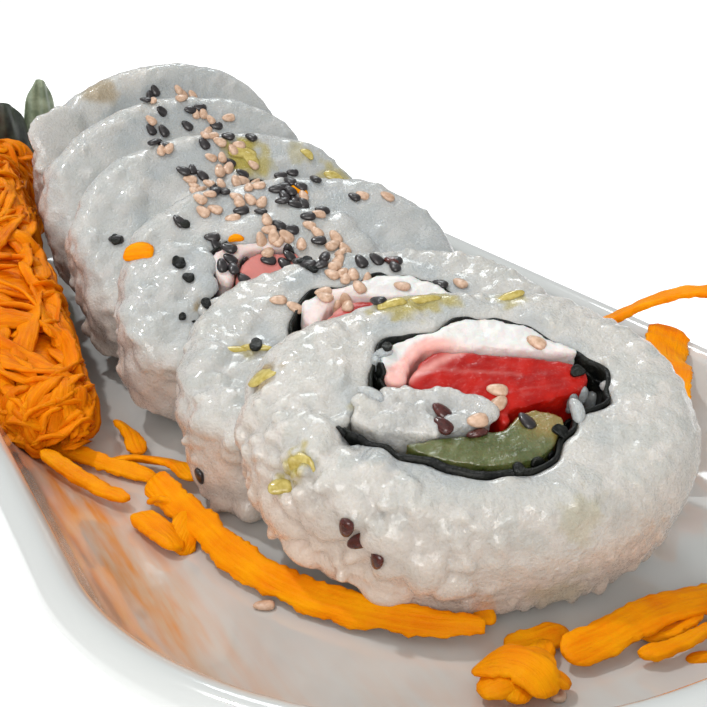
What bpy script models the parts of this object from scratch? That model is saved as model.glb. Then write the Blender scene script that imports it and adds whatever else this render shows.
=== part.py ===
"""A row of fruit maki slices on a white porcelain dish, with shredded carrot.

Six thick slices of one rice roll lie shingled along the dish, like fallen dominoes. The front
slice lies nearly flat and the last one stands. Each slice is a ring of rice round a sheet of nori
that wraps cream cheese, a red strip, a green slice and a tongue of rice.

The dish is long in Y. Z is up, and the origin is the centre of the flat foot under the dish.
"""

import math
import random

import bmesh
import bpy
from mathutils import Matrix, Vector, noise

MM = 0.001
GAP = 0.3
TAU = 2 * math.pi

# The dish, in millimetres
DISH_LENGTH = 256.0
DISH_WIDTH = 131.0
DISH_CORNER = 57.0
WELL = 6.0
# How far in from the rim's outer edge, and how high, from the foot round the lip to the well
DISH_PROFILE = [(33, 0), (31, 0.5), (17, 5.2), (4, 14), (0.2, 18), (0.6, 20.4), (2.9, 21.5),
                (5.1, 20.5), (6.2, 18.2), (9, 13), (13.5, 9), (19, 6.9), (28, WELL)]

# One slice, in millimetres
THICK = 19.0
SQUARENESS = 2.2
LUMP = 0.55
BULGE_AT = 206.0
BULGE_SPREAD = 20.0
NORI = 0.7

# Each slice: x and y of the spot that it stands on, turn, lean of its face, spin, half width and
# half height, how square its lower half has settled, the bulge at its left foot, how far its wall
# sags outwards below the face, how far its filling lies off centre and the filling's scale
SLICES = [
    dict(x=-7.3, y=-87.7, turn=-19, lean=68, spin=3, half=31.0, tall=23.0, foot=2.2, bulge=0.0, sag=2.4,
         core=(0, 0), scale=1.0, sides=46),
    dict(x=-6.5, y=-52.0, turn=-26, lean=70, spin=12, half=32.0, tall=23.0, foot=2.8, bulge=4.0, sag=0.0,
         core=(0, -1), scale=0.97, sides=36),
    dict(x=-1.8, y=-14.0, turn=-13, lean=56, spin=3, half=32.5, tall=23.0, foot=3.4, bulge=3.4, sag=0.0,
         core=(-3.5, -5.0), scale=0.92, sides=32),
    dict(x=-1.0, y=20.6, turn=-4, lean=48, spin=5, half=32.0, tall=23.5, foot=3.4, bulge=2.0, sag=0.0,
         core=(3.0, -5.5), scale=0.92, sides=30),
    dict(x=0.6, y=54.1, turn=-2, lean=37, spin=7, half=32.0, tall=24.0, foot=3.0, bulge=1.0, sag=0.0,
         core=(1.0, -6.0), scale=0.92, sides=28),
    dict(x=4.4, y=86.0, turn=0, lean=22, spin=9, half=32.0, tall=25.5, foot=2.6, bulge=0.0, sag=0.0,
         core=(0, -3.0), scale=0.95, sides=28),
]

# The hole through the rice: angle in degrees and radius. The notch at 190 takes the nori's end.
HOLE = [(6, 20.2), (17, 18.8), (36, 16.9), (58, 17.0), (79, 16.3), (105, 14.4), (134, 16.9),
        (154, 15.8), (171, 15.4), (179, 16.4), (186, 19.2), (191, 21.2), (200, 19.4), (210, 17.3),
        (237, 15.7), (257, 15.6), (291, 15.6), (315, 14.2), (334, 14.2), (350, 19.2)]
NORI_FROM = 192.0
NORI_TO = 531.0

# The outlines of what the nori wraps, as corners of smooth closed curves
CREAM = [(-10.8, 10.0), (-3.9, 12.0), (3.2, 14.1), (8.2, 12.9), (12.2, 8.8), (15.6, 5.5),
         (5.0, 8.2), (-5.0, 9.5), (-8.8, 5.6), (-10.2, 2.8), (-12.3, 3.4), (-12.7, 6.9)]
RED = [(-4.4, 8.7), (5.0, 7.2), (14.6, 4.4), (16.8, 1.8), (14.6, -1.2), (6.6, -3.3), (3.7, -3.7),
        (2.9, -6.0), (1.6, -6.0), (1.1, -2.9), (-3.4, -0.4), (-9.4, 2.6)]
GREEN = [(-12.2, -8.5), (-8.4, -7.9), (1.5, -7.2), (4.4, -4.9), (7.4, -4.2), (10.4, -6.6),
         (8.6, -9.8), (5.0, -12.8), (-0.6, -13.6), (-7.1, -12.0)]
TONGUE = [(-18.8, -2.7), (-17.0, -0.6), (-12.6, 0.0), (-8.0, 1.1), (-4.0, -0.9), (-0.4, -3.0),
          (0.2, -5.6), (-3.0, -6.8), (-10.0, -7.1), (-15.2, -6.0), (-17.6, -4.4)]

# The loops of a rice ring, from the hole's edge over the face, down the wall and under the back:
# share of the way from hole to rim, inset from the rim, height, and share of the relief
RICE_STATIONS = [(0.0, 0, THICK - 0.5, 0.0), (0.45, 0, THICK + 0.1, 0.9), (1, 3.2, THICK - 0.2, 0.9),
                 (1, 0.9, THICK - 1.7, 1.0), (1, -0.3, THICK - 5.0, 1.0), (1, -0.4, THICK * 0.45, 1.0),
                 (1, 0.1, 3.4, 1.0), (1, 0.9, 0.3, 0.3), (0.0, 0, 0.6, 0.0)]
RICE_STATIONS_FAR = [(0.0, 0, THICK - 0.5, 0.0), (0.45, 0, THICK + 0.1, 0.9), (1, 2.8, THICK - 0.2, 0.9),
                     (1, 0.3, THICK - 2.4, 1.0), (1, -0.5, THICK * 0.5, 1.0), (1, 0.1, 3.0, 1.0),
                     (1, 0.9, 0.3, 0.3), (0.0, 0, 0.6, 0.0)]

# Sesame seeds and rice grains: length, width and height
SEED = (3.2, 1.9, 1.2)
GRAIN = (5.8, 3.4, 3.0)


def material(name, colour, roughness, metallic=0.0):
    """A Principled material."""
    mat = bpy.data.materials.new(name)
    mat.use_nodes = True
    shader = mat.node_tree.nodes["Principled BSDF"]
    shader.inputs["Base Color"].default_value = (*colour, 1)
    shader.inputs["Roughness"].default_value = roughness
    shader.inputs["Metallic"].default_value = metallic
    return mat


def new_object(name, points, faces, mat, collection=None, smooth_angle=50):
    """An object from points in millimetres, with its faces turned outwards."""
    mesh = bpy.data.meshes.new(name)
    mesh.from_pydata([Vector(p) * MM for p in points], [], faces)
    bm = bmesh.new()
    bm.from_mesh(mesh)
    bmesh.ops.triangulate(bm, faces=bm.faces)
    bmesh.ops.recalc_face_normals(bm, faces=bm.faces)
    if bm.calc_volume(signed=True) < 0:
        bmesh.ops.reverse_faces(bm, faces=bm.faces)
    bm.to_mesh(mesh)
    bm.free()
    mesh.shade_smooth()
    mesh.set_sharp_from_angle(angle=math.radians(smooth_angle))
    mesh.materials.append(mat)
    obj = bpy.data.objects.new(name, mesh)
    (collection or bpy.context.scene.collection).objects.link(obj)
    return obj


def band_faces(rows, count, closed_rows=False):
    """Quads between rows of points, each row a closed loop of count points."""
    faces = []
    for row in range(rows if closed_rows else rows - 1):
        nxt = (row + 1) % rows
        for i in range(count):
            j = (i + 1) % count
            faces.append((row * count + i, row * count + j, nxt * count + j, nxt * count + i))
    return faces


def loft(name, rows, mat, collection=None):
    """A closed solid through loops of points, with a flat cap on both ends."""
    count = len(rows[0])
    faces = band_faces(len(rows), count)
    faces.append(tuple(range(count)))
    faces.append(tuple((len(rows) - 1) * count + i for i in range(count)))
    return new_object(name, [p for row in rows for p in row], faces, mat, collection)


def smooth_loop(corners, per_corner):
    """Points on a smooth closed curve through the corners."""
    points = []
    total = len(corners)
    for i in range(total):
        a, b, c, d = (Vector(corners[(i + k - 1) % total]) for k in range(4))
        for step in range(per_corner):
            t = step / per_corner
            points.append(0.5 * (2 * b + (c - a) * t + (2 * a - 5 * b + 4 * c - d) * t * t
                                 + (3 * b - a - 3 * c + d) * t ** 3))
    return points


def smooth_path(corners, step):
    """Points about step apart on a smooth open curve through the corners."""
    ends = [Vector(c) for c in corners]
    ends = [2 * ends[0] - ends[1]] + ends + [2 * ends[-1] - ends[-2]]
    points = []
    for a, b, c, d in zip(ends, ends[1:], ends[2:], ends[3:]):
        cuts = max(1, round((c - b).length / step))
        for i in range(cuts):
            t = i / cuts
            points.append(0.5 * (2 * b + (c - a) * t + (2 * a - 5 * b + 4 * c - d) * t * t
                                 + (3 * b - a - 3 * c + d) * t ** 3))
    return points + [ends[-2]]


def keep_largest(obj):
    """Drops the loose scraps that a cut leaves."""
    bm = bmesh.new()
    bm.from_mesh(obj.data)
    left = set(bm.verts)
    islands = []
    while left:
        island = set()
        stack = [left.pop()]
        while stack:
            vert = stack.pop()
            island.add(vert)
            for edge in vert.link_edges:
                other = edge.other_vert(vert)
                if other in left:
                    left.remove(other)
                    stack.append(other)
        islands.append(island)
    islands.sort(key=len)
    for island in islands[:-1]:
        bmesh.ops.delete(bm, geom=list(island), context="VERTS")
    bm.to_mesh(obj.data)
    bm.free()


def apply_boolean(obj, operation, operand=None, collection=None, solver="EXACT"):
    """Applies one Boolean with an object or with all objects of a collection."""
    mod = obj.modifiers.new("cut", "BOOLEAN")
    mod.operation = operation
    mod.solver = solver
    if collection:
        mod.operand_type = "COLLECTION"
        mod.collection = collection
    else:
        mod.object = operand
    bpy.context.view_layer.update()
    graph = bpy.context.evaluated_depsgraph_get()
    mesh = bpy.data.meshes.new_from_object(obj.evaluated_get(graph))
    obj.modifiers.clear()
    obj.data = mesh
    keep_largest(obj)


def fuse(obj, collection):
    """Joins a collection's pieces to the object, and removes them."""
    apply_boolean(obj, "UNION", collection=collection, solver="MANIFOLD")
    for piece in list(collection.objects):
        bpy.data.objects.remove(piece)
    bpy.data.collections.remove(collection)


def new_collection(name):
    """A collection for pieces that are fused later."""
    collection = bpy.data.collections.new(name)
    bpy.context.scene.collection.children.link(collection)
    return collection


def blob(name, size, place, mat, collection, rings=4, point=0.0):
    """A seed or a grain: an ellipsoid with few sides, its first end drawn to a point."""
    bm = bmesh.new()
    bmesh.ops.create_uvsphere(bm, u_segments=5, v_segments=rings, radius=0.5)
    for vert in bm.verts:
        narrow = 1 - point * max(0.0, vert.co.z) * 2
        vert.co = Vector((vert.co.z * size[0], vert.co.x * size[1] * narrow, vert.co.y * size[2] * narrow))
    bmesh.ops.transform(bm, matrix=place, verts=bm.verts)
    points = [vert.co.copy() for vert in bm.verts]
    faces = [[vert.index for vert in face.verts] for face in bm.faces]
    bm.free()
    return new_object(name, points, faces, mat, collection)


def dish_loop(inset, height, per_corner=10, along=3):
    """One loop of the dish: a rounded rectangle that keeps its distance from the rim."""
    points = []
    radius = DISH_CORNER - inset
    for corner, (sx, sy) in enumerate(((1, 1), (-1, 1), (-1, -1), (1, -1))):
        cx = sx * (DISH_WIDTH / 2 - DISH_CORNER)
        cy = sy * (DISH_LENGTH / 2 - DISH_CORNER)
        for i in range(per_corner):
            angle = math.pi / 2 * (corner + i / (per_corner - 1))
            points.append(Vector((cx + radius * math.cos(angle), cy + radius * math.sin(angle), height)))
        if corner in (0, 2):
            continue
        end = points[-1]
        for i in range(1, along):
            points.append(end + Vector((0, -2 * cy * i / along, 0)))
    return points


def build_dish(mat):
    """The long porcelain dish, with a flat foot, a flared side, a thick round lip and a well."""
    rows = [dish_loop(inset, height) for inset, height in DISH_PROFILE]
    return loft("dish", rows, mat)


def well_height(x, y):
    """The height of the dish's upper side at a spot."""
    dx = max(0.0, abs(x) - (DISH_WIDTH / 2 - DISH_CORNER))
    dy = max(0.0, abs(y) - (DISH_LENGTH / 2 - DISH_CORNER))
    inset = DISH_CORNER - math.hypot(dx, dy)
    inner = DISH_PROFILE[6:]
    if inset >= inner[-1][0]:
        return WELL
    for (near, high), (far, low) in zip(inner, inner[1:]):
        if inset <= far:
            return high + (low - high) * (inset - near) / (far - near)
    return WELL


def above_dish(point, gap=GAP + 0.2):
    """The point, raised where it would sink into the dish."""
    return Vector((point.x, point.y, max(point.z, well_height(point.x, point.y) + gap)))


def slice_frame(place):
    """The matrix from a slice's own frame, with the origin in its back's centre, to the dish's."""
    turn, lean, spin = (math.radians(place[key]) for key in ("turn", "lean", "spin"))
    along = Vector((-math.sin(turn), math.cos(turn), 0))
    across = Vector((math.cos(turn), math.sin(turn), 0))
    up = Vector((0, 0, 1))
    out = -along * math.cos(lean) + up * math.sin(lean)
    rise = along * math.sin(lean) + up * math.cos(lean)
    width = across * math.cos(spin) + rise * math.sin(spin)
    height = -across * math.sin(spin) + rise * math.cos(spin)
    drop = place["tall"] + LUMP * 0.6 + place["sag"]
    centre = Vector((place["x"], place["y"], WELL + GAP + 0.2)) + rise * drop
    axes = Matrix((width, height, out)).transposed().to_4x4()
    return Matrix.Translation(centre) @ axes


def oval_radius(angle, place):
    """The radius of a slice's outline at an angle."""
    squareness = SQUARENESS if math.sin(angle) > 0 else place["foot"]
    c, s = abs(math.cos(angle)) / place["half"], abs(math.sin(angle)) / place["tall"]
    radius = (c ** squareness + s ** squareness) ** (-1 / squareness)
    off = (math.degrees(angle) % 360 - BULGE_AT) / BULGE_SPREAD
    return radius + place["bulge"] * math.exp(-off * off)


def wall_radius(angle, place, height):
    """The radius of a slice's wall at an angle and a height over its back."""
    return oval_radius(angle, place) + place["sag"] * min(1.0, max(0.0, (THICK - height) / 8.0))


def hole_curve(angle, seed):
    """The radius of the hole in the rice at an angle, with the nori's crinkles."""
    degrees = math.degrees(angle) % 360
    table = [(HOLE[-1][0] - 360, HOLE[-1][1])] + HOLE + [(HOLE[0][0] + 360, HOLE[0][1])]
    for (a, ra), (b, rb) in zip(table, table[1:]):
        if a <= degrees <= b:
            t = (degrees - a) / (b - a)
            t = t * t * (3 - 2 * t)
            break
    crinkle = 0.22 * math.sin(9 * angle + seed) + 0.16 * math.sin(17 * angle + 2 * seed)
    return ra + (rb - ra) * t + crinkle


def hole_radius(angle, number):
    """The radius of the hole as cut, on the straight side between two corners of its outline."""
    step = TAU / SLICES[number]["sides"]
    low = math.floor(angle / step + 1e-9) * step
    near, far = hole_curve(low, number), hole_curve(low + step, number)
    return near * far * math.sin(step) / (near * math.sin(angle - low) + far * math.sin(low + step - angle))


def warp(p, q, number):
    """Makes each slice's filling a little different: a turn, a size and a shift."""
    turn = math.radians(random.Random(number).uniform(-6, 6)) if number else 0.0
    dx, dy = SLICES[number]["core"]
    p, q = p * SLICES[number]["scale"], q * SLICES[number]["scale"]
    return dx + p * math.cos(turn) - q * math.sin(turn), dy + p * math.sin(turn) + q * math.cos(turn)


def lump(point, seed, size=4.2):
    """Uneven relief about as large as cooked grains, between -1 and 1."""
    shift = Vector((seed * 7.3, seed * 3.1, 0))
    return max(-1.0, min(1.0, 1.6 * noise.noise(Vector(point) / size + shift)))


def rice_rows(place, seed):
    """The loops of a rice ring: over the face, down the wall, under the back."""
    sides = place["sides"]
    rows = []
    for share, inset, height, relief in RICE_STATIONS if sides > 30 else RICE_STATIONS_FAR:
        row = []
        for i in range(sides):
            angle = TAU * i / sides
            inner = hole_radius(angle, seed)
            outer = wall_radius(angle, place, height) - inset
            hole = Vector(warp(inner * math.cos(angle), inner * math.sin(angle), seed))
            rim = Vector((outer * math.cos(angle), outer * math.sin(angle)))
            spot = hole.lerp(rim, share)
            bump = LUMP * relief * lump((spot.x, spot.y, height), seed)
            side = 1.0 if share == 1 and inset < 2 else 0.0
            spot += rim.normalized() * bump * side
            lift = bump * (1 - side) * (1 if height > THICK / 2 else -1)
            row.append(Vector((spot.x, spot.y, height + lift)))
        rows.append(row)
    return rows


def build_rice(number, place, frame, mat):
    """The ring of rice of one slice."""
    rows = rice_rows(place, number)
    points = [frame @ p for row in rows for p in row]
    faces = band_faces(len(rows), place["sides"], closed_rows=True)
    return new_object("rice_%d" % (number + 1), points, faces, mat)


def clear_of_nori(p, q, seed, margin):
    """Pulls a filling's point in until it is clear of the nori, or of the rice beside the notch."""
    angle = math.atan2(q, p) % TAU
    in_notch = math.radians(NORI_TO - 360) < angle < math.radians(NORI_FROM)
    limit = hole_radius(angle, seed) - (margin if in_notch else margin + NORI + 0.3)
    radius = math.hypot(p, q)
    if radius > limit:
        p, q = p * limit / radius, q * limit / radius
    return p, q


def build_filling(name, outline, per_corner, number, frame, reach, mat):
    """A filling that runs through the slice, a little bulged or sunk at both ends."""
    base = smooth_loop(outline, per_corner)
    centre = sum(base, Vector((0, 0))) / len(base)
    rows = []
    for height, shrink in ((0.9, 0.96), (THICK - 1.8, 1.0), (THICK + reach, 0.93)):
        row = []
        for point in base:
            p, q = clear_of_nori(point.x, point.y, number, GAP + 0.1)
            p, q = centre.x + (p - centre.x) * shrink, centre.y + (q - centre.y) * shrink
            row.append(frame @ Vector((*warp(p, q, number), height)))
        rows.append(row)
    return loft("%s_%d" % (name, number + 1), rows, mat)


def build_nori(number, frame, mat):
    """The sheet of nori: a thin band round the filling, open at the notch."""
    outer, inner = [], []
    step = TAU / SLICES[number]["sides"]
    first = math.ceil(math.radians(NORI_FROM) / step)
    last = math.floor(math.radians(NORI_TO) / step)
    steps = last - first
    for i in range(steps + 1):
        angle = (first + i) * step
        radius = hole_radius(angle, number)
        for side, inset in ((outer, GAP + 0.05), (inner, GAP + 0.05 + NORI)):
            r = radius - inset
            side.append(warp(r * math.cos(angle), r * math.sin(angle), number))
    loop = outer + inner[::-1]
    rows = []
    for height in (0.7, THICK + 0.15):
        rows.append([frame @ Vector((p, q, height)) for p, q in loop])
    count = len(loop)
    faces = band_faces(len(rows), count)
    for row in (0, len(rows) - 1):
        start = row * count
        for i in range(steps):
            faces.append((start + i, start + i + 1, start + count - 2 - i, start + count - 1 - i))
    return new_object("nori_%d" % (number + 1), [p for row in rows for p in row], faces, mat)


def envelope(place, frame, margin):
    """A plain oval body that takes in a slice and its relief, to press its shape into the next."""
    sides = 48
    rows = []
    for height, inset in ((-margin, 0.6), (3.0, -margin), (THICK - 8.0, -margin),
                          (THICK - 3.0, -margin), (THICK + margin, 1.6)):
        row = []
        for i in range(sides):
            angle = TAU * i / sides
            radius = wall_radius(angle, place, height) - inset
            row.append(frame @ Vector((radius * math.cos(angle), radius * math.sin(angle), height)))
        rows.append(row)
    cutter = loft("press", rows, bpy.data.materials[0])
    cutter.hide_render = True
    cutter.display_type = "WIRE"
    return cutter


def seed_places(number):
    """Where sesame seeds lie on a slice: across and up the face, and how they are turned."""
    rng = random.Random(100 + number)
    counts = [5, 6, 7, 6, 6, 5]
    places = []
    tries = 0
    while len(places) < counts[number] and tries < 4000:
        tries += 1
        angle = math.radians(rng.uniform(62, 128) if number else rng.uniform(40, 100))
        depth = rng.uniform(2.2, 5.0)
        radius = oval_radius(angle, SLICES[number]) - depth
        p, q = radius * math.cos(angle), radius * math.sin(angle)
        room = radius - hole_radius(angle, number) > 3.2
        if room and all(math.hypot(p - a, q - b) > 2.9 for a, b, _ in places):
            places.append((p, q, rng.uniform(0, math.pi)))
    return places


def wall_spots(number):
    """Seeds and grains on the wall of a slice: angle, height and turn."""
    if number == 0:
        return [(238, 12.6, 0.4), (240, 10.2, 0.8), (244, 7.4, 0.6), (84, 15.5, 0.3)]
    return [(96 + 9 * k, 14.4 - 2.0 * (k % 3), 0.5 * k) for k in range(3)]


def add_seeds(number, place, frame, rice, mat):
    """Fuses sesame seeds to the face and the wall of a slice."""
    pieces = new_collection("seeds")
    for p, q, turn in seed_places(number):
        spot = Matrix.Translation((p, q, THICK + 0.1)) @ Matrix.Rotation(turn, 4, "Z")
        blob("seed", SEED, frame @ spot, mat, pieces, rings=3, point=0.5)
    for degrees, height, turn in wall_spots(number):
        angle = math.radians(degrees)
        radius = wall_radius(angle, place, height) + 0.3
        out = Vector((math.cos(angle), math.sin(angle), 0))
        axes = Matrix((Vector((0, 0, 1)), out.cross(Vector((0, 0, 1))), out)).transposed().to_4x4()
        spot = Matrix.Translation(out * radius + Vector((0, 0, height))) @ axes
        blob("seed", SEED, frame @ spot @ Matrix.Rotation(turn, 4, "Z"), mat, pieces, rings=3, point=0.5)
    fuse(rice, pieces)


# Where loose grains stick out of a slice's wall: slice, angles, heights and how many
GRAIN_AREAS = {0: (184, 222, 9.0, 14.5, 5), 1: (168, 214, 3.0, 16.0, 8)}


def add_grains(number, place, frame, rice, mat):
    """Fuses plump grains to the ragged side of a slice."""
    if number not in GRAIN_AREAS:
        return
    low, high, near, far, count = GRAIN_AREAS[number]
    rng = random.Random(300 + number)
    pieces = new_collection("grains")
    for k in range(count):
        angle = math.radians(low + (high - low) * (k + 0.5) / count)
        height = near + (far - near) * ((k * 0.618) % 1.0)
        radius = wall_radius(angle, place, height) + rng.uniform(-0.6, 0.3)
        out = Vector((math.cos(angle), math.sin(angle), 0))
        axes = Matrix((Vector((0, 0, 1)), out.cross(Vector((0, 0, 1))), out)).transposed().to_4x4()
        tilt = Matrix.Rotation(rng.uniform(-0.5, 0.5), 4, "Y") @ Matrix.Rotation(rng.uniform(0, 3), 4, "Z")
        spot = Matrix.Translation(out * radius + Vector((0, 0, height))) @ axes @ tilt
        blob("grain", GRAIN, frame @ spot, mat, pieces)
    fuse(rice, pieces)


def build_slice(number, place, mats, cutter):
    """One slice: rice, nori and filling, pressed in by the slice in front of it."""
    frame = slice_frame(place)
    fine = number == 0
    per_corner = 2 if fine else 1
    rice = build_rice(number, place, frame, mats["rice"])
    add_seeds(number, place, frame, rice, mats["rice"])
    add_grains(number, place, frame, rice, mats["rice"])
    pieces = [
        rice,
        build_nori(number, frame, mats["nori"]),
        build_filling("cream", CREAM, per_corner, number, frame, -0.1, mats["cream"]),
        build_filling("red", RED, per_corner, number, frame, 0.2, mats["red"]),
        build_filling("green", GREEN, per_corner, number, frame, -0.2, mats["green"]),
        build_filling("tongue", TONGUE, per_corner, number, frame, 0.3, mats["rice"]),
    ]
    if cutter:
        for piece in pieces:
            apply_boolean(piece, "DIFFERENCE", operand=cutter)
    return envelope(place, frame, LUMP + GAP + 0.15)


def strip_rows(route, width, thick, twist, seed, tilt=0.0):
    """The loops of a flat strip along a route, tilted, twisting a little and uneven in width."""
    path = smooth_path(route, 4.2)
    rows = []
    for i, point in enumerate(path):
        ahead = path[min(i + 1, len(path) - 1)] - path[max(i - 1, 0)]
        ahead.normalize()
        side = ahead.cross(Vector((0, 0, 1))).normalized()
        top = side.cross(ahead)
        share = i / (len(path) - 1)
        roll = tilt + twist * math.sin(share * 5 + seed)
        side, top = (side * math.cos(roll) + top * math.sin(roll),
                     top * math.cos(roll) - side * math.sin(roll))
        uneven = 1 + 0.16 * math.sin(2.3 * i + seed) if 0 < i < len(path) - 1 else 0.72
        half, up = width / 2 * uneven, thick / 2
        corners = [(-1, 0.1), (-0.7, 1), (0.7, 1), (1, 0.1), (0.75, -1), (-0.75, -1)]
        rows.append([point + side * half * a + top * up * b for a, b in corners])
    return rows


def build_strip(name, route, mat, width, thick=1.5, twist=0.25, seed=0, tilt=0.0, collection=None):
    """One carrot strip. Each point of its route gives x, y and the height over the dish."""
    lifted = [Vector((x, y, well_height(x, y) + z + thick / 2 + GAP)) for x, y, z in route]
    return loft(name, strip_rows(lifted, width, thick, twist, seed, tilt), mat, collection)


# Routes of the carrot strips that lie apart: x, y and height over the dish
STRIPS = {
    "strip_long": dict(route=[(-37.6, -30, 2.4), (-36.8, -38, 2.2), (-35.6, -48, 2.0), (-34.2, -58, 1.9),
                              (-31.8, -68, 1.7), (-27.8, -78, 1.5), (-21.6, -87.0, 1.7), (-14.2, -93.6, 2.0)],
                       width=4.2, twist=0.1, tilt=-0.7, seed=1),
    "strip_left": dict(route=[(-52.6, -17, 1.6), (-50.4, -21, 1.3), (-46.6, -27.5, 1.0), (-43.0, -33.6, 0.8)],
                       width=3.2, twist=0.2, seed=2),
    "strip_short": dict(route=[(-43.0, -38, 0.4), (-41.8, -44, 1.0), (-40.6, -51, 0.4)],
                        width=4.0, twist=0.3, seed=3),
    "strip_wide": dict(route=[(-5.6, -99.6, 1.4), (1, -99.2, 1.8), (8, -98.2, 2.0), (14, -97.6, 1.8),
                              (21, -97.8, 1.2), (30, -98.4, 1.0)], width=5.2, twist=0.1, tilt=-0.3, seed=4),
    "strip_thin": dict(route=[(3.4, -103.2, 0.8), (8, -104.4, 1.0), (16, -103.2, 0.9), (24, -103.4, 0.4)],
                       width=2.4, twist=0.2, seed=5),
    "strip_far": dict(route=[(35.5, -39, 14.0), (42.0, -38, 16.5), (49.0, -37, 16.0), (56.0, -36, 13.5),
                             (63.0, -35.4, 6.2)], width=3.8, twist=0.2, seed=6),
    "strip_fold": dict(route=[(37.0, -66, 9.0), (42.4, -62, 12.6), (48.4, -56, 13.6), (54.4, -48, 10.0),
                              (60.4, -42.4, 2.4)], width=6.4, twist=0.4, seed=7),
}


def build_clump(mat):
    """The small knot of carrot in front of the first slice, its strips fused to each other."""
    knot = build_strip("clump", [(-17.2, -97.4, 0.5), (-14.0, -100.2, 1.9), (-10.4, -103.4, 0.6)],
                       mat, width=5.0, thick=2.6, seed=8)
    pieces = new_collection("knot")
    build_strip("bit", [(-18.4, -101.0, 0.4), (-14.4, -100.4, 2.8), (-10.0, -98.8, 2.2)],
                mat, width=4.0, thick=2.0, seed=9, collection=pieces)
    build_strip("bit", [(-15.0, -104.2, 0.5), (-13.2, -101.2, 3.6), (-10.2, -101.6, 3.4)],
                mat, width=3.6, thick=2.0, seed=10, collection=pieces)
    fuse(knot, pieces)
    return knot


# The heap of shredded carrot: y, its left and right side, and its top over the well
HEAP = [(-15, -54.6, -46.5, 7.0), (-10, -57.0, -42.6, 12.5), (-2, -58.5, -41.6, 15.0), (14, -59.5, -40.0, 19.0),
        (32, -59.0, -38.0, 24.0), (50, -58.0, -36.0, 27.0), (66, -56.5, -34.6, 31.0), (82, -54.0, -32.6, 33.5),
        (96, -49.0, -31.4, 34.5), (106, -41.5, -26.5, 35.5), (111.5, -34.5, -21.5, 33.0)]
HEAP_FOOT = 4.6


def heap_point(share, angle, out=0.0):
    """A point on the heap: share of the way along it, angle round it, distance off its surface."""
    place = share * (len(HEAP) - 1)
    i = min(int(place), len(HEAP) - 2)
    y, left, right, top = (a + (b - a) * (place - i) for a, b in zip(HEAP[i], HEAP[i + 1]))
    half_wide, half_high = (right - left) / 2, (top - HEAP_FOOT) / 2
    c, s = math.cos(angle), math.sin(angle)
    return Vector(((left + right) / 2 + (half_wide + out) * math.copysign(abs(c) ** 0.8, c), y,
                   WELL + HEAP_FOOT + half_high + (half_high + out) * math.copysign(abs(s) ** 0.8, s)))


def build_heap(mat):
    """The heap of shredded carrot beside the row: a core with strips fused over it."""
    rows = []
    for i in range(len(HEAP)):
        row = []
        for k in range(10):
            bump = 1.1 * noise.noise(Vector((i * 0.9, k * 1.7, 3.3))) - 0.5
            row.append(above_dish(heap_point(i / (len(HEAP) - 1), TAU * k / 10, bump)))
        rows.append(row)
    core = loft("carrot_heap", rows, mat)
    pieces = new_collection("shreds")
    rng = random.Random(77)
    for k in range(11):
        share = 0.05 + 0.9 * ((k * 0.618) % 1.0)
        angle = math.radians(rng.uniform(15, 140))
        slope = rng.uniform(-0.9, 0.9)
        route = []
        for step in range(4):
            spot = share + 0.055 * (step - 1.5) * (1 - 0.3 * abs(slope))
            route.append(above_dish(heap_point(min(0.99, max(0.0, spot)), angle + slope * (step / 3 - 0.5), 0.3),
                                    2.6))
        loft("shred", strip_rows(route, 3.0, 1.8, 0.4, k), mat, pieces)
    fuse(core, pieces)
    return core


def build_leaf(name, foot, turn, lean, width, height, curl, mat):
    """A thin wavy leaf that stands at the back of the dish."""
    across, up = 6, 5
    thick = 0.9
    frame = (Matrix.Translation(foot) @ Matrix.Rotation(math.radians(turn), 4, "Z")
             @ Matrix.Rotation(math.radians(lean), 4, "X"))
    sides = ([], [])
    for j in range(up):
        rise = j / (up - 1)
        half = width / 2 * (0.45 + 0.75 * math.sin(math.pi * (0.18 + 0.66 * rise)) ** 0.8)
        for i in range(across):
            s = 2 * i / (across - 1) - 1
            wave = curl * s * s + 1.3 * math.sin(3.1 * s + 5 * rise)
            edge = 1.4 * math.sin(9 * s + 2) * rise
            for side, offset in zip(sides, (0.0, thick)):
                side.append(frame @ Vector((half * s, wave + offset, rise * height + edge)))
    count = across * up
    faces = []
    for j in range(up - 1):
        for i in range(across - 1):
            a = j * across + i
            quad = (a, a + 1, a + across + 1, a + across)
            faces.append((quad[0], quad[1], quad[2]))
            faces.append((quad[0], quad[2], quad[3]))
            faces.append((count + quad[2], count + quad[1], count + quad[0]))
            faces.append((count + quad[3], count + quad[2], count + quad[0]))
    rim = list(range(across)) + [j * across + across - 1 for j in range(1, up)]
    rim += [count - 1 - i for i in range(1, across)] + [j * across for j in range(up - 2, 0, -1)]
    for a, b in zip(rim, rim[1:] + rim[:1]):
        faces.append((a, b, count + b, count + a))
    return new_object(name, sides[0] + sides[1], faces, mat)


def build_loose_seeds(dish, mat):
    """Fuses to the well the two seeds that fell beside the row."""
    pieces = new_collection("fallen")
    for x, y, turn in ((-35.6, -72.6, 0.4), (-10.0, -108.0, 2.4)):
        place = Matrix.Translation((x, y, well_height(x, y) + 0.25)) @ Matrix.Rotation(turn, 4, "Z")
        blob("seed", SEED, place, mat, pieces, point=0.5)
    fuse(dish, pieces)


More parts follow.
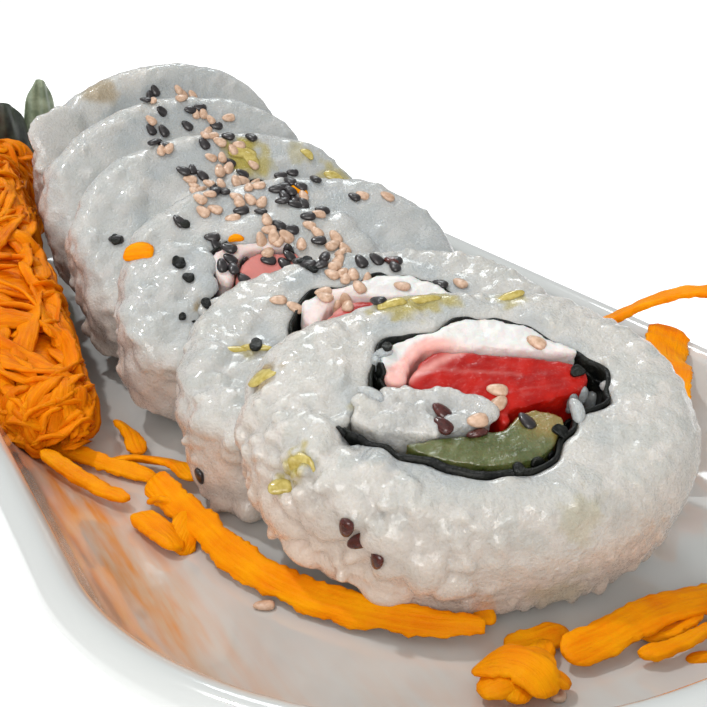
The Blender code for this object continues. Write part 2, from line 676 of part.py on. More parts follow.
def main():
    """Builds the dish and everything on it."""
    for obj in list(bpy.data.objects):
        bpy.data.objects.remove(obj)
    mats = {
        "porcelain": material("porcelain", (0.78, 0.79, 0.77), 0.18),
        "rice": material("rice", (0.80, 0.78, 0.71), 0.35),
        "nori": material("nori", (0.015, 0.02, 0.016), 0.4),
        "cream": material("cream", (0.86, 0.84, 0.79), 0.4),
        "red": material("red", (0.72, 0.05, 0.03), 0.3),
        "green": material("green", (0.30, 0.33, 0.12), 0.3),
        "carrot": material("carrot", (0.90, 0.30, 0.02), 0.4),
        "leaf": material("leaf", (0.05, 0.09, 0.04), 0.5),
        "pale_leaf": material("pale_leaf", (0.35, 0.45, 0.25), 0.5),
    }
    dish = build_dish(mats["porcelain"])
    build_loose_seeds(dish, mats["porcelain"])
    cutter = None
    for number, place in enumerate(SLICES):
        press = build_slice(number, place, mats, cutter)
        if cutter:
            bpy.data.objects.remove(cutter)
        cutter = press
    bpy.data.objects.remove(cutter)
    for name, strip in STRIPS.items():
        build_strip(name, strip["route"], mats["carrot"], strip["width"], twist=strip["twist"],
                    seed=strip["seed"], tilt=strip.get("tilt", 0.0))
    build_clump(mats["carrot"])
    build_heap(mats["carrot"])
    build_leaf("leaf_dark", (-31.5, 115.4, 21.2), 23, 0, 16, 29, 0.4, mats["leaf"])
    build_leaf("leaf_pale", (-17.6, 122.6, 21.6), 8, 0, 9, 33, 0.4, mats["pale_leaf"])


main()
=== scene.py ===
# %% [markdown]
# A row of fruit maki slices on a long porcelain dish.
# Six thick slices of one rice roll lie against each other like fallen dominoes. Shredded carrot
# lies round them, and a trail of sesame runs over the row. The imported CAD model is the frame, and
# every piece below stands in for the CAD node that it names. All lengths are in millimetres until
# a mesh is made.

import math
import random

import bpy
import numpy as np
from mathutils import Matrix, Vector
from mathutils.bvhtree import BVHTree
from mathutils.kdtree import KDTree


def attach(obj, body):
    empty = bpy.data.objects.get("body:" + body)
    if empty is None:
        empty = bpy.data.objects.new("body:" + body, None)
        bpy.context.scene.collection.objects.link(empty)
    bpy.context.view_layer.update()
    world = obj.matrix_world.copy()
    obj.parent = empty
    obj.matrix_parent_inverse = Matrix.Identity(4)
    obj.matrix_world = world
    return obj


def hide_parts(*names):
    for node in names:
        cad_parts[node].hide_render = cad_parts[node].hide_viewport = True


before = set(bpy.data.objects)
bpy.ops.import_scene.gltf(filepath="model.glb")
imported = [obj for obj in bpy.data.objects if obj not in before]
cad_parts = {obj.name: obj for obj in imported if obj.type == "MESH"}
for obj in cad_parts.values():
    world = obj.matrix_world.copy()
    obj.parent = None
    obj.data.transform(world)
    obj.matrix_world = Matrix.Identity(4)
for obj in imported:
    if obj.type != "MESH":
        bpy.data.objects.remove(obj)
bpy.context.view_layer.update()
MM = 0.001
TAU = 2 * math.pi
print("CAD nodes:", len(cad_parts))

# %% [markdown]
# Shader maths reads best as plain sums. A small class wraps a socket, and Python's own operators
# add the Math nodes. Colours go through Mix nodes instead, because a Math node turns them grey.

# %% A socket that can be used in a sum
class Value:
    """A socket whose sums and products become Math nodes."""

    def __init__(self, finish, socket):
        self.finish = finish
        self.socket = socket

    def maths(self, operation, *terms):
        return self.finish.node("ShaderNodeMath", {"operation": operation}, *terms)

    def __add__(self, other):
        return self.maths("ADD", self, other)

    def __radd__(self, other):
        return self.maths("ADD", other, self)

    def __mul__(self, other):
        return self.maths("MULTIPLY", self, other)

    def __rmul__(self, other):
        return self.maths("MULTIPLY", other, self)


# %% A material that is written down node by node
class Finish:
    """A Principled material. Its constants sit on the shader's own sockets."""

    def __init__(self, name, **constants):
        self.material = bpy.data.materials.new(name)
        self.material.use_nodes = True
        self.tree = self.material.node_tree
        self.shader = self.tree.nodes["Principled BSDF"]
        for socket, value in constants.items():
            self.shader.inputs[socket.replace("_", " ")].default_value = value

    def node(self, kind, settings, *sockets, out=0, **named):
        """Any node: its type, its settings, and the values or links of its sockets."""
        made = self.tree.nodes.new(kind)
        for key, value in settings.items():
            setattr(made, key, value)
        for key, value in list(enumerate(sockets)) + list(named.items()):
            if isinstance(value, Value):
                self.tree.links.new(value.socket, made.inputs[key])
            else:
                made.inputs[key].default_value = value
        return Value(self, made.outputs[out])

    def attribute(self, name, out=2):
        """A value that is stored on the mesh: 2 gives a number, 1 a vector."""
        return self.node("ShaderNodeAttribute", {"attribute_name": name}, out=out)

    def noise(self, where, scale, detail=3.0):
        return self.node("ShaderNodeTexNoise", {}, Vector=where, Scale=scale, Detail=detail)

    def ramp(self, value, low, high):
        """0 below low, 1 above high."""
        return self.node("ShaderNodeMapRange", {"clamp": True}, value, low, high, 0.0, 1.0)

    def mix(self, share, first, second):
        """A colour between two others."""
        made = self.tree.nodes.new("ShaderNodeMix")
        made.data_type = "RGBA"
        for index, value in ((0, share), (6, first), (7, second)):
            if isinstance(value, Value):
                self.tree.links.new(value.socket, made.inputs[index])
            else:
                made.inputs[index].default_value = value if index == 0 else (*value, 1.0)
        return Value(self, made.outputs[2])

    def two_tone(self, value, low, high, first, second):
        """The first colour where the value is low, the second where it is high."""
        return self.mix(self.ramp(value, low, high), first, second)

    def stretch(self, where, factors):
        """The same place with each direction scaled, for grain and streaks."""
        return self.node("ShaderNodeVectorMath", {"operation": "MULTIPLY"}, where, factors)

    def feed(self, socket, value):
        self.tree.links.new(value.socket, self.shader.inputs[socket])

    def bump(self, height, depth, strength=1.0):
        """Fine relief: the height in its own unit, and how deep one unit is in millimetres."""
        lift = self.node("ShaderNodeBump", {}, Strength=strength, Distance=depth * MM, Height=height)
        self.feed("Normal", lift)


# %% [markdown]
# ## Finishes
# Food looks alive because light goes a little way into it and because it is wet. So each food
# finish has some subsurface light and a low, uneven roughness. Every mesh stores where each point
# lies in its own piece, in millimetres, as "place". Patterns read that, so they stay on the piece.

# %% Rice: translucent grains, whiter and greyer by turns, with stains, painted shade in the creases and on the slices behind, and painted bounce light low on the walls
# Tints mixed over the rice: the pale orange one is painted bounce light from the carrot, low on the walls;
# the grey-blue one is nori stain near the hole and painted shade on the slices behind; yellow and brown are
# stains, and two faint yellow spots are painted shade.
STAINS = {"warm": (0.80, 0.58, 0.44), "cool": (0.33, 0.375, 0.40), "yellow": (0.42, 0.34, 0.05),
          "brown": (0.30, 0.20, 0.06)}


def make_rice_finish():
    rice = Finish("rice", Subsurface_Weight=0.6, Subsurface_Scale=0.003, Coat_Roughness=0.08, IOR=1.4,
                  Specular_IOR_Level=0.5)
    rice.shader.inputs["Subsurface Radius"].default_value = (1.0, 0.86, 0.7)
    place = rice.attribute("place", out=1)
    cloud = rice.noise(place, 0.16, 2.0)
    fine = rice.noise(place, 2.4, 3.0)
    colour = rice.two_tone(0.55 * rice.attribute("grain") + 0.45 * cloud, 0.2, 0.8,
                           (0.50, 0.52, 0.50), (0.62, 0.61, 0.58))
    # Painted shade: the rice is darker in the creases between grains.
    colour = rice.mix(0.16 * rice.attribute("crease"), colour, (0.42, 0.38, 0.32))
    # These tints carry painted bounce light and painted shade as well as stains.
    for name, tint in STAINS.items():
        colour = rice.mix(rice.attribute(name), colour, tint)
    rice.feed("Base Color", colour)
    rice.feed("Roughness", 0.16 + 0.36 * rice.ramp(fine, 0.35, 0.7))
    rice.feed("Coat Weight", 0.3 + 0.6 * rice.ramp(rice.noise(place, 0.9, 2.0), 0.35, 0.7))
    rice.bump(rice.noise(place, 1.6, 3.0) + 0.6 * fine, 0.26)
    return rice


RICE = make_rice_finish()


# %% Nori: a wet green-black sheet with a papery crinkle
def make_nori_finish():
    nori = Finish("nori", Specular_IOR_Level=0.25, Coat_Weight=0.1, Coat_Roughness=0.2)
    place = nori.attribute("place", out=1)
    blotch = nori.noise(place, 0.5, 4.0)
    nori.feed("Base Color", nori.two_tone(blotch, 0.4, 0.7, (0.002, 0.003, 0.003), (0.012, 0.014, 0.010)))
    nori.feed("Roughness", 0.25 + 0.4 * blotch)
    nori.bump(nori.noise(place, 1.6, 4.0), 0.35)
    return nori


NORI_FINISH = make_nori_finish()


# %% The fillings: cream cheese, the red strip and the green slice
def make_cream_finish():
    cream = Finish("cream", Subsurface_Weight=0.35, Subsurface_Scale=0.002)
    place = cream.attribute("place", out=1)
    colour = cream.two_tone(cream.noise(place, 0.35), 0.35, 0.7, (0.72, 0.71, 0.69), (0.80, 0.79, 0.77))
    cream.feed("Base Color", cream.mix(cream.attribute("pink"), colour, (0.86, 0.36, 0.30)))
    cream.feed("Roughness", 0.30 + 0.2 * cream.noise(place, 1.2))
    cream.bump(cream.noise(place, 0.7, 3.0), 0.3)
    return cream


def make_red_finish():
    red = Finish("red", Specular_IOR_Level=0.2, Subsurface_Weight=0.1, Subsurface_Scale=0.001,
                 Coat_Weight=0.15, Coat_Roughness=0.05)
    place = red.attribute("place", out=1)
    streak = red.attribute("streak")
    speck = red.ramp(red.noise(place, 2.2, 2.0), 0.62, 0.72)
    colour = red.two_tone(red.noise(place, 0.3), 0.35, 0.65, (0.34, 0.004, 0.002), (0.48, 0.010, 0.004))
    colour = red.mix(0.10 * speck, colour, (0.88, 0.42, 0.34))
    red.feed("Base Color", red.mix(streak, colour, (0.78, 0.36, 0.32)))
    red.feed("Roughness", 0.25 + 0.35 * red.noise(place, 1.0))
    red.bump(red.noise(place, 1.4, 3.0), 0.10)
    return red


def make_green_finish():
    green = Finish("green", Subsurface_Weight=0.3, Subsurface_Scale=0.002, Coat_Weight=0.7,
                   Coat_Roughness=0.05)
    place = green.attribute("place", out=1)
    tip = green.attribute("tip")
    colour = green.two_tone(green.noise(place, 0.3, 3.0), 0.3, 0.7,
                            (0.062, 0.084, 0.018), (0.145, 0.160, 0.055))
    green.feed("Base Color", green.mix(tip, colour, (0.26, 0.19, 0.05)))
    green.feed("Roughness", 0.12 + 0.35 * green.noise(place, 0.9))
    green.bump(green.noise(place, 1.1, 3.0), 0.3)
    return green


CREAM_FINISH = make_cream_finish()
RED_FINISH = make_red_finish()
GREEN_FINISH = make_green_finish()


# %% Carrot, porcelain, seeds and leaves
def make_carrot_finish(name, pale, deep):
    carrot = Finish(name, Subsurface_Weight=0.12, Subsurface_Scale=0.0015, Specular_IOR_Level=0.05)
    place = carrot.attribute("place", out=1)
    fibre = carrot.noise(carrot.stretch(place, (0.12, 1.6, 1.0)), 1.0)
    patch = carrot.noise(place, 0.16, 2.0)
    carrot.feed("Base Color", carrot.two_tone(0.6 * patch + 0.4 * fibre, 0.35, 0.62, deep, pale))
    carrot.feed("Roughness", 0.3 + 0.3 * fibre)
    carrot.bump(fibre + 0.5 * carrot.noise(place, 1.5), 0.3)
    return carrot


def make_porcelain_finish():
    glaze = Finish("porcelain", Coat_Weight=0.6, Coat_Roughness=0.03, IOR=1.5)
    place = glaze.attribute("place", out=1)
    tint = glaze.noise(place, 0.012, 2.0)
    colour = glaze.mix(tint, (0.56, 0.60, 0.59), (0.66, 0.66, 0.65))
    stretched = glaze.stretch(place, (0.30, 0.045, 0.10))
    streak = glaze.ramp(glaze.noise(stretched, 0.9, 2.0), 0.30, 0.66)
    tone = glaze.two_tone(glaze.noise(stretched, 2.2, 2.0), 0.35, 0.65,
                          (0.70, 0.27, 0.06), (0.64, 0.40, 0.24))
    glaze.feed("Base Color", glaze.mix(glaze.attribute("juice") * (0.35 + 0.65 * streak), colour, tone))
    glaze.feed("Roughness", 0.08 + 0.08 * glaze.noise(place, 0.05))
    glaze.bump(glaze.noise(place, 0.06, 2.0), 0.25, 0.5)
    return glaze


def make_plain_finish(name, dark, light, roughness, scale=1.2):
    plain = Finish(name, Coat_Weight=0.3, Coat_Roughness=0.15)
    place = plain.attribute("place", out=1)
    blotch = plain.noise(place, scale)
    plain.feed("Base Color", plain.two_tone(blotch, 0.35, 0.65, dark, light))
    plain.feed("Roughness", roughness - 0.1 + 0.2 * blotch)
    plain.bump(blotch, 0.12)
    return plain


CARROT = make_carrot_finish("carrot", (0.95, 0.36, 0.002), (0.84, 0.22, 0.001))
DEEP_CARROT = make_carrot_finish("carrot_deep", (0.90, 0.27, 0.002), (0.68, 0.145, 0.001))
PORCELAIN = make_porcelain_finish()
BLACK_SEED = make_plain_finish("seed_black", (0.010, 0.009, 0.010), (0.03, 0.024, 0.026), 0.35)
BROWN_SEED = make_plain_finish("seed_brown", (0.040, 0.006, 0.004), (0.09, 0.014, 0.010), 0.25)
BEIGE_SEED = make_plain_finish("seed_beige", (0.50, 0.31, 0.20), (0.72, 0.50, 0.36), 0.4)
YELLOW_BIT = make_plain_finish("bit_yellow", (0.42, 0.32, 0.06), (0.60, 0.50, 0.16), 0.2)
LEAF = make_plain_finish("leaf", (0.010, 0.014, 0.012), (0.045, 0.060, 0.040), 0.45, 0.4)
PALE_LEAF = make_plain_finish("pale_leaf", (0.16, 0.21, 0.13), (0.32, 0.38, 0.26), 0.45, 0.4)
print("materials:", len(bpy.data.materials))

# %% [markdown]
# ## Shape helpers
# Each piece is a grid or a loop of points worked out with numpy, then relief is added along the
# surface's own normals. Real relief is used wherever an edge or a shadow shows it, and bump only
# for the finest wetness.


# %% Smooth random relief
def waves(points, size, seed=0):
    """Smooth noise between about -1 and 1, with features of the given size."""
    grid = np.asarray(points) / size + seed * 17.13
    cell = np.floor(grid).astype(np.int64)
    part = grid - cell
    part = part * part * (3 - 2 * part)
    total = np.zeros(len(grid))
    for corner in range(8):
        step = np.array([corner & 1, corner >> 1 & 1, corner >> 2 & 1])
        n = cell + step
        code = (n[:, 0] * 73856093 ^ n[:, 1] * 19349663 ^ n[:, 2] * 83492791) & 0x7FFFFFFF
        code = (code * 1103515245 + 12345) & 0x7FFFFFFF
        share = np.prod(np.where(step, part, 1 - part), axis=1)
        total += share * (code / 0x3FFFFFFF - 1)
    return total


# %% Making a piece from points and faces
def add_piece(name, points, faces, finish, nodes=(), slot=None, place=None, **values):
    """A mesh object on the body "root", from points in millimetres, with values stored on it."""
    mesh = bpy.data.meshes.new(name)
    mesh.from_pydata((np.asarray(points) * MM).tolist(), [], faces)
    mesh.update()
    spots = np.asarray(points if place is None else place, dtype=float)
    mesh.attributes.new("place", "FLOAT_VECTOR", "POINT").data.foreach_set("vector", spots.ravel())
    for key, numbers in values.items():
        layer = mesh.attributes.new(key, "FLOAT", "POINT").data
        layer.foreach_set("value", np.asarray(numbers, dtype=float))
    mesh.shade_smooth()
    mesh.materials.append(finish.material)
    piece = bpy.data.objects.new(name, mesh)
    bpy.context.scene.collection.objects.link(piece)
    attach(piece, "root")
    if nodes:
        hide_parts(*nodes)
    return piece


def grid_faces(rows, count, close_rows=False):
    """Quads between rows of points, each row a closed loop."""
    row = np.arange(rows if close_rows else rows - 1)[:, None]
    i = np.arange(count)[None, :]
    j = (i + 1) % count
    nxt = (row + 1) % rows
    quads = np.stack([row * count + i, row * count + j, nxt * count + j, nxt * count + i], axis=-1)
    return quads.reshape(-1, 4).tolist()


def tube(rows):
    """A closed solid through loops of points, each end closed by a small fan."""
    rows = [np.asarray(row) for row in rows]
    count = len(rows[0])
    points = np.concatenate(rows + [rows[0].mean(axis=0)[None], rows[-1].mean(axis=0)[None]])
    faces = grid_faces(len(rows), count)
    first, last = len(points) - 2, len(points) - 1
    end = (len(rows) - 1) * count
    for i in range(count):
        j = (i + 1) % count
        faces.append([first, j, i])
        faces.append([last, end + i, end + j])
    return points, faces


def outward(points, faces):
    """Turns the faces round if they point inwards."""
    p = np.asarray(points)
    volume = 0.0
    for face in faces:
        for k in range(1, len(face) - 1):
            volume += np.dot(p[face[0]], np.cross(p[face[k]], p[face[k + 1]]))
    return faces if volume > 0 else [face[::-1] for face in faces]


def normals_of(points, faces):
    """The direction of the surface at each point."""
    p = np.asarray(points)
    normals = np.zeros_like(p)
    for size in (3, 4):
        picked = np.array([face for face in faces if len(face) == size])
        if len(picked):
            across = np.cross(p[picked[:, 2]] - p[picked[:, 0]], p[picked[:, -1]] - p[picked[:, 1]])
            for k in range(size):
                np.add.at(normals, picked[:, k], across)
    return normals / np.maximum(np.linalg.norm(normals, axis=1, keepdims=True), 1e-9)


def curve_point(a, b, c, d, t):
    """A point between b and c on the smooth curve that also passes through a and d."""
    square, cube = 2 * a - 5 * b + 4 * c - d, 3 * b - a - 3 * c + d
    return 0.5 * (2 * b + (c - a) * t + square * t * t + cube * t ** 3)


def smooth_loop(corners, per_corner):
    """Points on a smooth closed curve through the corners."""
    corners = np.asarray(corners, dtype=float)
    a, b, c, d = (np.roll(corners, 1 - k, axis=0)[:, None] for k in range(4))
    t = (np.arange(per_corner) / per_corner)[None, :, None]
    return curve_point(a, b, c, d, t).reshape(-1, corners.shape[1])


def smooth_path(corners, step):
    """Points about step apart on a smooth open curve through the corners."""
    ends = [np.asarray(c, dtype=float) for c in corners]
    ends = [2 * ends[0] - ends[1]] + ends + [2 * ends[-1] - ends[-2]]
    points = []
    for a, b, c, d in zip(ends, ends[1:], ends[2:], ends[3:]):
        cuts = max(1, round(float(np.linalg.norm(c - b)) / step))
        points += [curve_point(a, b, c, d, i / cuts) for i in range(cuts)]
    return np.array(points + [ends[-2]])


def sheet(lower, upper, across):
    """A closed solid between two grids of points, both with rows of the same length."""
    count = len(lower)
    up = count // across
    faces = []
    for j in range(up - 1):
        for i in range(across - 1):
            a = j * across + i
            faces.append([a, a + 1, a + across + 1, a + across])
            faces.append([count + a + across, count + a + across + 1, count + a + 1, count + a])
    rim = list(range(across)) + [j * across + across - 1 for j in range(1, up)]
    rim += [count - 1 - i for i in range(1, across)] + [j * across for j in range(up - 2, 0, -1)]
    for a, b in zip(rim, rim[1:] + rim[:1]):
        faces.append([b, a, count + a, count + b])
    points = np.concatenate([lower, upper])
    return points, outward(points, faces)


def join(parts):
    """Joins several shapes into one set of points, faces and places."""
    points, faces, places = [], [], []
    start = 0
    for p, f, m in parts:
        points.append(p)
        places.append(m)
        faces += [[start + i for i in face] for face in f]
        start += len(p)
    return np.concatenate(points), faces, np.concatenate(places)


def copies(shape, faces, laid, spacing):
    """One shape laid at many spots, joined. Each copy has its own stretch of the pattern."""
    return join([(spot + shape @ axes, faces, shape + (spacing * number, 0, 0))
                 for number, (spot, axes) in enumerate(laid)])


# %% Joining solids into one skin of small even faces
def even_mesh(points, faces, voxel, rounds=4):
    """Overlapping solids as one, with small even faces: its points and faces, in millimetres."""
    mesh = bpy.data.meshes.new("solid")
    mesh.from_pydata(np.asarray(points).tolist(), [], faces)
    helper = bpy.data.objects.new("solid", mesh)
    bpy.context.scene.collection.objects.link(helper)
    remesh = helper.modifiers.new("even", "REMESH")
    remesh.mode = "VOXEL"
    remesh.voxel_size = voxel
    smooth = helper.modifiers.new("soft", "SMOOTH")
    smooth.iterations = rounds
    bpy.context.view_layer.update()
    fine = helper.evaluated_get(bpy.context.evaluated_depsgraph_get()).to_mesh()
    spots = np.array([v.co for v in fine.vertices])
    quads = [list(face.vertices) for face in fine.polygons]
    helper.to_mesh_clear()
    bpy.data.objects.remove(helper)
    bpy.data.meshes.remove(mesh)
    return spots, quads

# %% [markdown]
# ## The dish
# A long porcelain dish with a thick round lip and a sunken well. Its section is drawn once as a
# few corners, smoothed, and swept round a rounded rectangle, so glaze and light flow without facets.

# %% Dish
DISH_LENGTH, DISH_WIDTH, DISH_CORNER, WELL = 256.0, 131.0, 57.0, 6.0
DISH_PROFILE = [(33, 0), (31, 0.5), (17, 5.2), (4, 14), (0.2, 18), (0.6, 20.4), (2.9, 21.5),
                (5.1, 20.5), (6.2, 18.2), (9, 13), (13.5, 9), (19, 6.9), (28, WELL)]


def dish_ring(inset, height, per_corner=40, along=26):
    """One loop of the dish, which keeps its distance from the rim."""
    radius = DISH_CORNER - inset
    half_wide, half_long = DISH_WIDTH / 2 - DISH_CORNER, DISH_LENGTH / 2 - DISH_CORNER
    points = []
    for quarter, (sx, sy) in enumerate(((1, 1), (-1, 1), (-1, -1), (1, -1))):
        for i in range(per_corner):
            angle = math.pi / 2 * (quarter + i / (per_corner - 1))
            points.append((sx * half_wide + radius * math.cos(angle),
                           sy * half_long + radius * math.sin(angle), height))
        if quarter in (1, 3):
            x, y, _ = points[-1]
            points += [(x, y - 2 * sy * half_long * i / along, height) for i in range(1, along)]
    return points


def inset_of(x, y):
    """How far a spot lies inside the rim's outline."""
    across = np.maximum(0, np.abs(x) - (DISH_WIDTH / 2 - DISH_CORNER))
    along = np.maximum(0, np.abs(y) - (DISH_LENGTH / 2 - DISH_CORNER))
    return DISH_CORNER - np.hypot(across, along)


def well_height(x, y):
    """The height of the dish's upper side at a spot."""
    inner = DISH_PROFILE[6:]
    return float(np.interp(inset_of(x, y), [p[0] for p in inner], [p[1] for p in inner]))


def build_dish():
    """The dish, with orange streaks on the glaze of its left and front wall, beside the carrot."""
    section = smooth_path(DISH_PROFILE, 1.0)
    section = np.vstack([section, [(40, WELL), (48, WELL)]])
    points, faces = tube([dish_ring(inset, max(0.0, height)) for inset, height in section])
    x, y, z = points.T
    upper = 1 / (1 + np.exp(-(z - WELL + 0.6) / 0.2))
    left_wall = np.exp(-((x + 50) / 10) ** 2) / (1 + np.exp((y - 45) / 10)) / (1 + np.exp(-(y + 108) / 6))
    front_wall = np.exp(-((y + 98) / 12) ** 2) * np.exp(-((x + 22) / 24) ** 2)
    off_rim = np.clip((inset_of(x, y) - 3.0) / 2, 0, 1)
    juice = np.clip(1.1 * left_wall + 0.35 * front_wall, 0, 1.0) * upper * off_rim
    return add_piece("porcelain_dish", points, outward(points, faces), PORCELAIN, ["dish"], "porcelain",
                     juice=juice)


dish = build_dish()
print("dish points:", len(dish.data.vertices))

# %% [markdown]
# ## The camera
# The photograph looks down the row from its front left, about 21 degrees down. The camera comes
# before the small things, because each seed is placed where its line of sight meets the food.

# %% Camera
EYE = np.array((-85.4, -197.0, 97.0))
TURN, PITCH, FOCAL, FRAME = math.radians(27), math.radians(21), 1150.0, 707.0
HEADING = np.array((math.sin(TURN), math.cos(TURN), 0))
LOOK = HEADING * math.cos(PITCH) - np.array((0, 0, math.sin(PITCH)))
RIGHT = np.array((math.cos(TURN), -math.sin(TURN), 0))
UP = np.cross(RIGHT, LOOK)
camera_data = bpy.data.cameras.new("camera")
camera_data.sensor_width = 36
camera_data.lens = FOCAL / FRAME * 36
camera_data.clip_start = 0.01
camera = bpy.data.objects.new("camera", camera_data)
camera.location = Vector(EYE * MM)
camera.rotation_euler = Vector(LOOK).to_track_quat("-Z", "Y").to_euler()
bpy.context.scene.collection.objects.link(camera)
bpy.context.scene.camera = camera


def line_of_sight(u, v):
    """The direction from the camera through a spot of the picture, 707 spots wide."""
    ray = LOOK * FOCAL + RIGHT * (u - FRAME / 2) - UP * (v - FRAME / 2)
    return ray / np.linalg.norm(ray)

# %% [markdown]
# ## The slices
# Each slice has its own frame: across the face, up the face, and out of the face, with the origin
# in the middle of its back. The outline is a squashed oval that sags at the foot. The hole in the
# rice takes the nori, with a notch where the sheet's end comes out.

# %% A slice's frame, outline and hole
THICK, SQUARENESS, BULGE_AT, BULGE_SPREAD, NORI, GAP = 19.0, 2.2, 206.0, 20.0, 0.7, 0.3
NORI_FROM, NORI_TO = 192.0, 531.0
HOLE = np.array([(6, 20.2), (17, 18.8), (36, 16.9), (58, 17.0), (79, 16.3), (105, 14.4), (134, 16.9),
                 (154, 15.8), (171, 15.4), (179, 16.4), (186, 19.2), (191, 21.2), (200, 19.4), (210, 17.3),
                 (237, 15.7), (257, 15.6), (291, 15.6), (315, 14.2), (334, 14.2), (350, 19.2)])


class Slice:
    """One slice: where it stands, how it leans, and the curves of its outline and its hole."""

    def __init__(self, number, x, y, turn, lean, spin, half, tall, foot, bulge, sag, core, scale):
        self.number, self.half, self.tall, self.foot = number, half, tall, foot
        self.bulge, self.sag, self.core, self.scale = bulge, sag, core, scale
        turn, lean, spin = (math.radians(angle) for angle in (turn, lean, spin))
        along = np.array((-math.sin(turn), math.cos(turn), 0))
        across = np.array((math.cos(turn), math.sin(turn), 0))
        up = np.array((0, 0, 1.0))
        out = -along * math.cos(lean) + up * math.sin(lean)
        rise = along * math.sin(lean) + up * math.cos(lean)
        self.axes = np.array([across * math.cos(spin) + rise * math.sin(spin),
                              -across * math.sin(spin) + rise * math.cos(spin), out])
        self.origin = np.array((x, y, WELL + GAP + 0.2)) + rise * (tall + 0.33 + sag)
        self.turn = math.radians(random.Random(number).uniform(-6, 6)) if number else 0.0

    def to_dish(self, points):
        return self.origin + np.asarray(points) @ self.axes

    def to_slice(self, points):
        return (np.asarray(points) - self.origin) @ self.axes.T

    def edge(self, angle, height):
        """The radius of the wall at an angle and a height over the back."""
        square = np.where(np.sin(angle) > 0, SQUARENESS, self.foot)
        c, s = np.abs(np.cos(angle)) / self.half, np.abs(np.sin(angle)) / self.tall
        off = (np.degrees(angle) % 360 - BULGE_AT) / BULGE_SPREAD
        sag = self.sag * np.clip((THICK - height) / 8.0, 0, 1)
        return (c ** square + s ** square) ** (-1 / square) + self.bulge * np.exp(-off * off) + sag

    def hole(self, angle):
        """The radius of the hole in the rice, with the nori's crinkles."""
        degrees = np.degrees(angle) % 360
        table = np.vstack([HOLE[-1] - (360, 0), HOLE, HOLE[0] + (360, 0)])
        index = np.clip(np.searchsorted(table[:, 0], degrees, side="right") - 1, 0, len(table) - 2)
        t = (degrees - table[index, 0]) / (table[index + 1, 0] - table[index, 0])
        t = t * t * (3 - 2 * t)
        crinkle = 0.22 * np.sin(9 * angle + self.number) + 0.16 * np.sin(17 * angle + 2 * self.number)
        return table[index, 1] * (1 - t) + table[index + 1, 1] * t + crinkle

    def warp(self, p, q):
        """Makes each slice's filling a little different: a turn, a size and a shift."""
        p, q = p * self.scale, q * self.scale
        c, s = math.cos(self.turn), math.sin(self.turn)
        return self.core[0] + p * c - q * s, self.core[1] + p * s + q * c

    def face_spot(self, u, v):
        """Where the line of sight through (u, v) crosses the plane of the face."""
        eye, ray = self.to_slice(EYE), self.axes @ line_of_sight(u, v)
        return eye + ray * (THICK - eye[2]) / ray[2]

    def press(self, points):
        """Pushes points that would lie inside this slice back behind its back plane."""
        local = self.to_slice(points)
        radius = np.hypot(local[:, 0], local[:, 1])
        angle = np.arctan2(local[:, 1], local[:, 0])
        beyond = np.maximum(0, radius - self.edge(angle, np.full(len(local), 4.0)))
        limit = 4.0 * beyond - GAP
        inside = (local[:, 2] > limit) & (local[:, 2] < THICK + 4) & (beyond < 5)
        local[inside, 2] = limit[inside]
        return self.to_dish(local)


# Spot, turn, lean, spin, half width, half height, foot, bulge, sag, filling's shift and size
SLICES = [Slice(number, *row) for number, row in enumerate((
    (-7.3, -87.7, -19, 68, 3, 31.0, 23.0, 2.2, 0.0, 2.4, (0, 0), 1.0),
    (-6.5, -52.0, -26, 70, 12, 32.0, 23.0, 2.8, 4.0, 0.0, (0, -1), 0.97),
    (-1.8, -14.0, -13, 56, 3, 32.5, 23.0, 3.4, 3.4, 0.0, (-3.5, -5.0), 0.92),
    (-1.0, 20.6, -4, 48, 5, 32.0, 23.5, 3.4, 2.0, 0.0, (3.0, -5.5), 0.92),
    (0.6, 54.1, -2, 37, 7, 32.0, 24.0, 3.0, 1.0, 0.0, (1.0, -6.0), 0.92),
    (4.4, 86.0, 0, 22, 9, 32.0, 25.5, 2.6, 0.0, 0.0, (0, -3.0), 0.95)))]
print("slices:", len(SLICES))


def stand(place, local):
    """Points of a slice on the dish, pressed in where the slice in front leans on it."""
    world = place.to_dish(local)
    return SLICES[place.number - 1].press(world) if place.number else world


# %% [markdown]
# ## Rice
# Cooked rice at a cut is a crust of plump grains that have stuck together. The knife smears the
# face, and at the left foot the crust is torn, so grains and clumps stick out there. The ring is
# a smooth solid, real grains are sunk into it, and everything is joined into one skin. That gives
# the soft fillets and the sharp creases between grains that plain noise never gives.

# %% One grain, and where grains lie
def grain_shape(rings=8, sides=10):
    """A bent grain along x, about 5.2 by 2.6 by 2.4 millimetres."""
    rows = []
    for i in range(rings):
        t = math.pi * (0.07 + 0.86 * i / (rings - 1))
        x, wide = 2.6 * math.cos(t), 1.3 * math.sin(t) ** 0.75
        bend = 0.07 * x * x
        rows.append([(x, wide * math.cos(TAU * k / sides) + bend, 0.92 * wide * math.sin(TAU * k / sides))
                     for k in range(sides)])
    points, faces = tube(rows)
    return points, outward(points, faces)


GRAIN_POINTS, GRAIN_FACES = grain_shape()


def grain_at(spot, axes, shape=GRAIN_POINTS):
    """A grain's points, faces and places, ready to join."""
    return spot + shape @ axes, GRAIN_FACES, shape


def pick_apart(points, distance, rng):
    """Indices of points that keep their distance from each other."""
    cells = {}
    chosen = []
    for index in rng.permutation(len(points)):
        spot = points[index]
        cell = tuple(np.floor(spot / distance).astype(int))
        near = [other for dx in (-1, 0, 1) for dy in (-1, 0, 1) for dz in (-1, 0, 1)
                for other in cells.get((cell[0] + dx, cell[1] + dy, cell[2] + dz), ())]
        if all(np.sum((points[other] - spot) ** 2) > distance ** 2 for other in near):
            cells.setdefault(cell, []).append(index)
            chosen.append(index)
    return np.array(chosen)


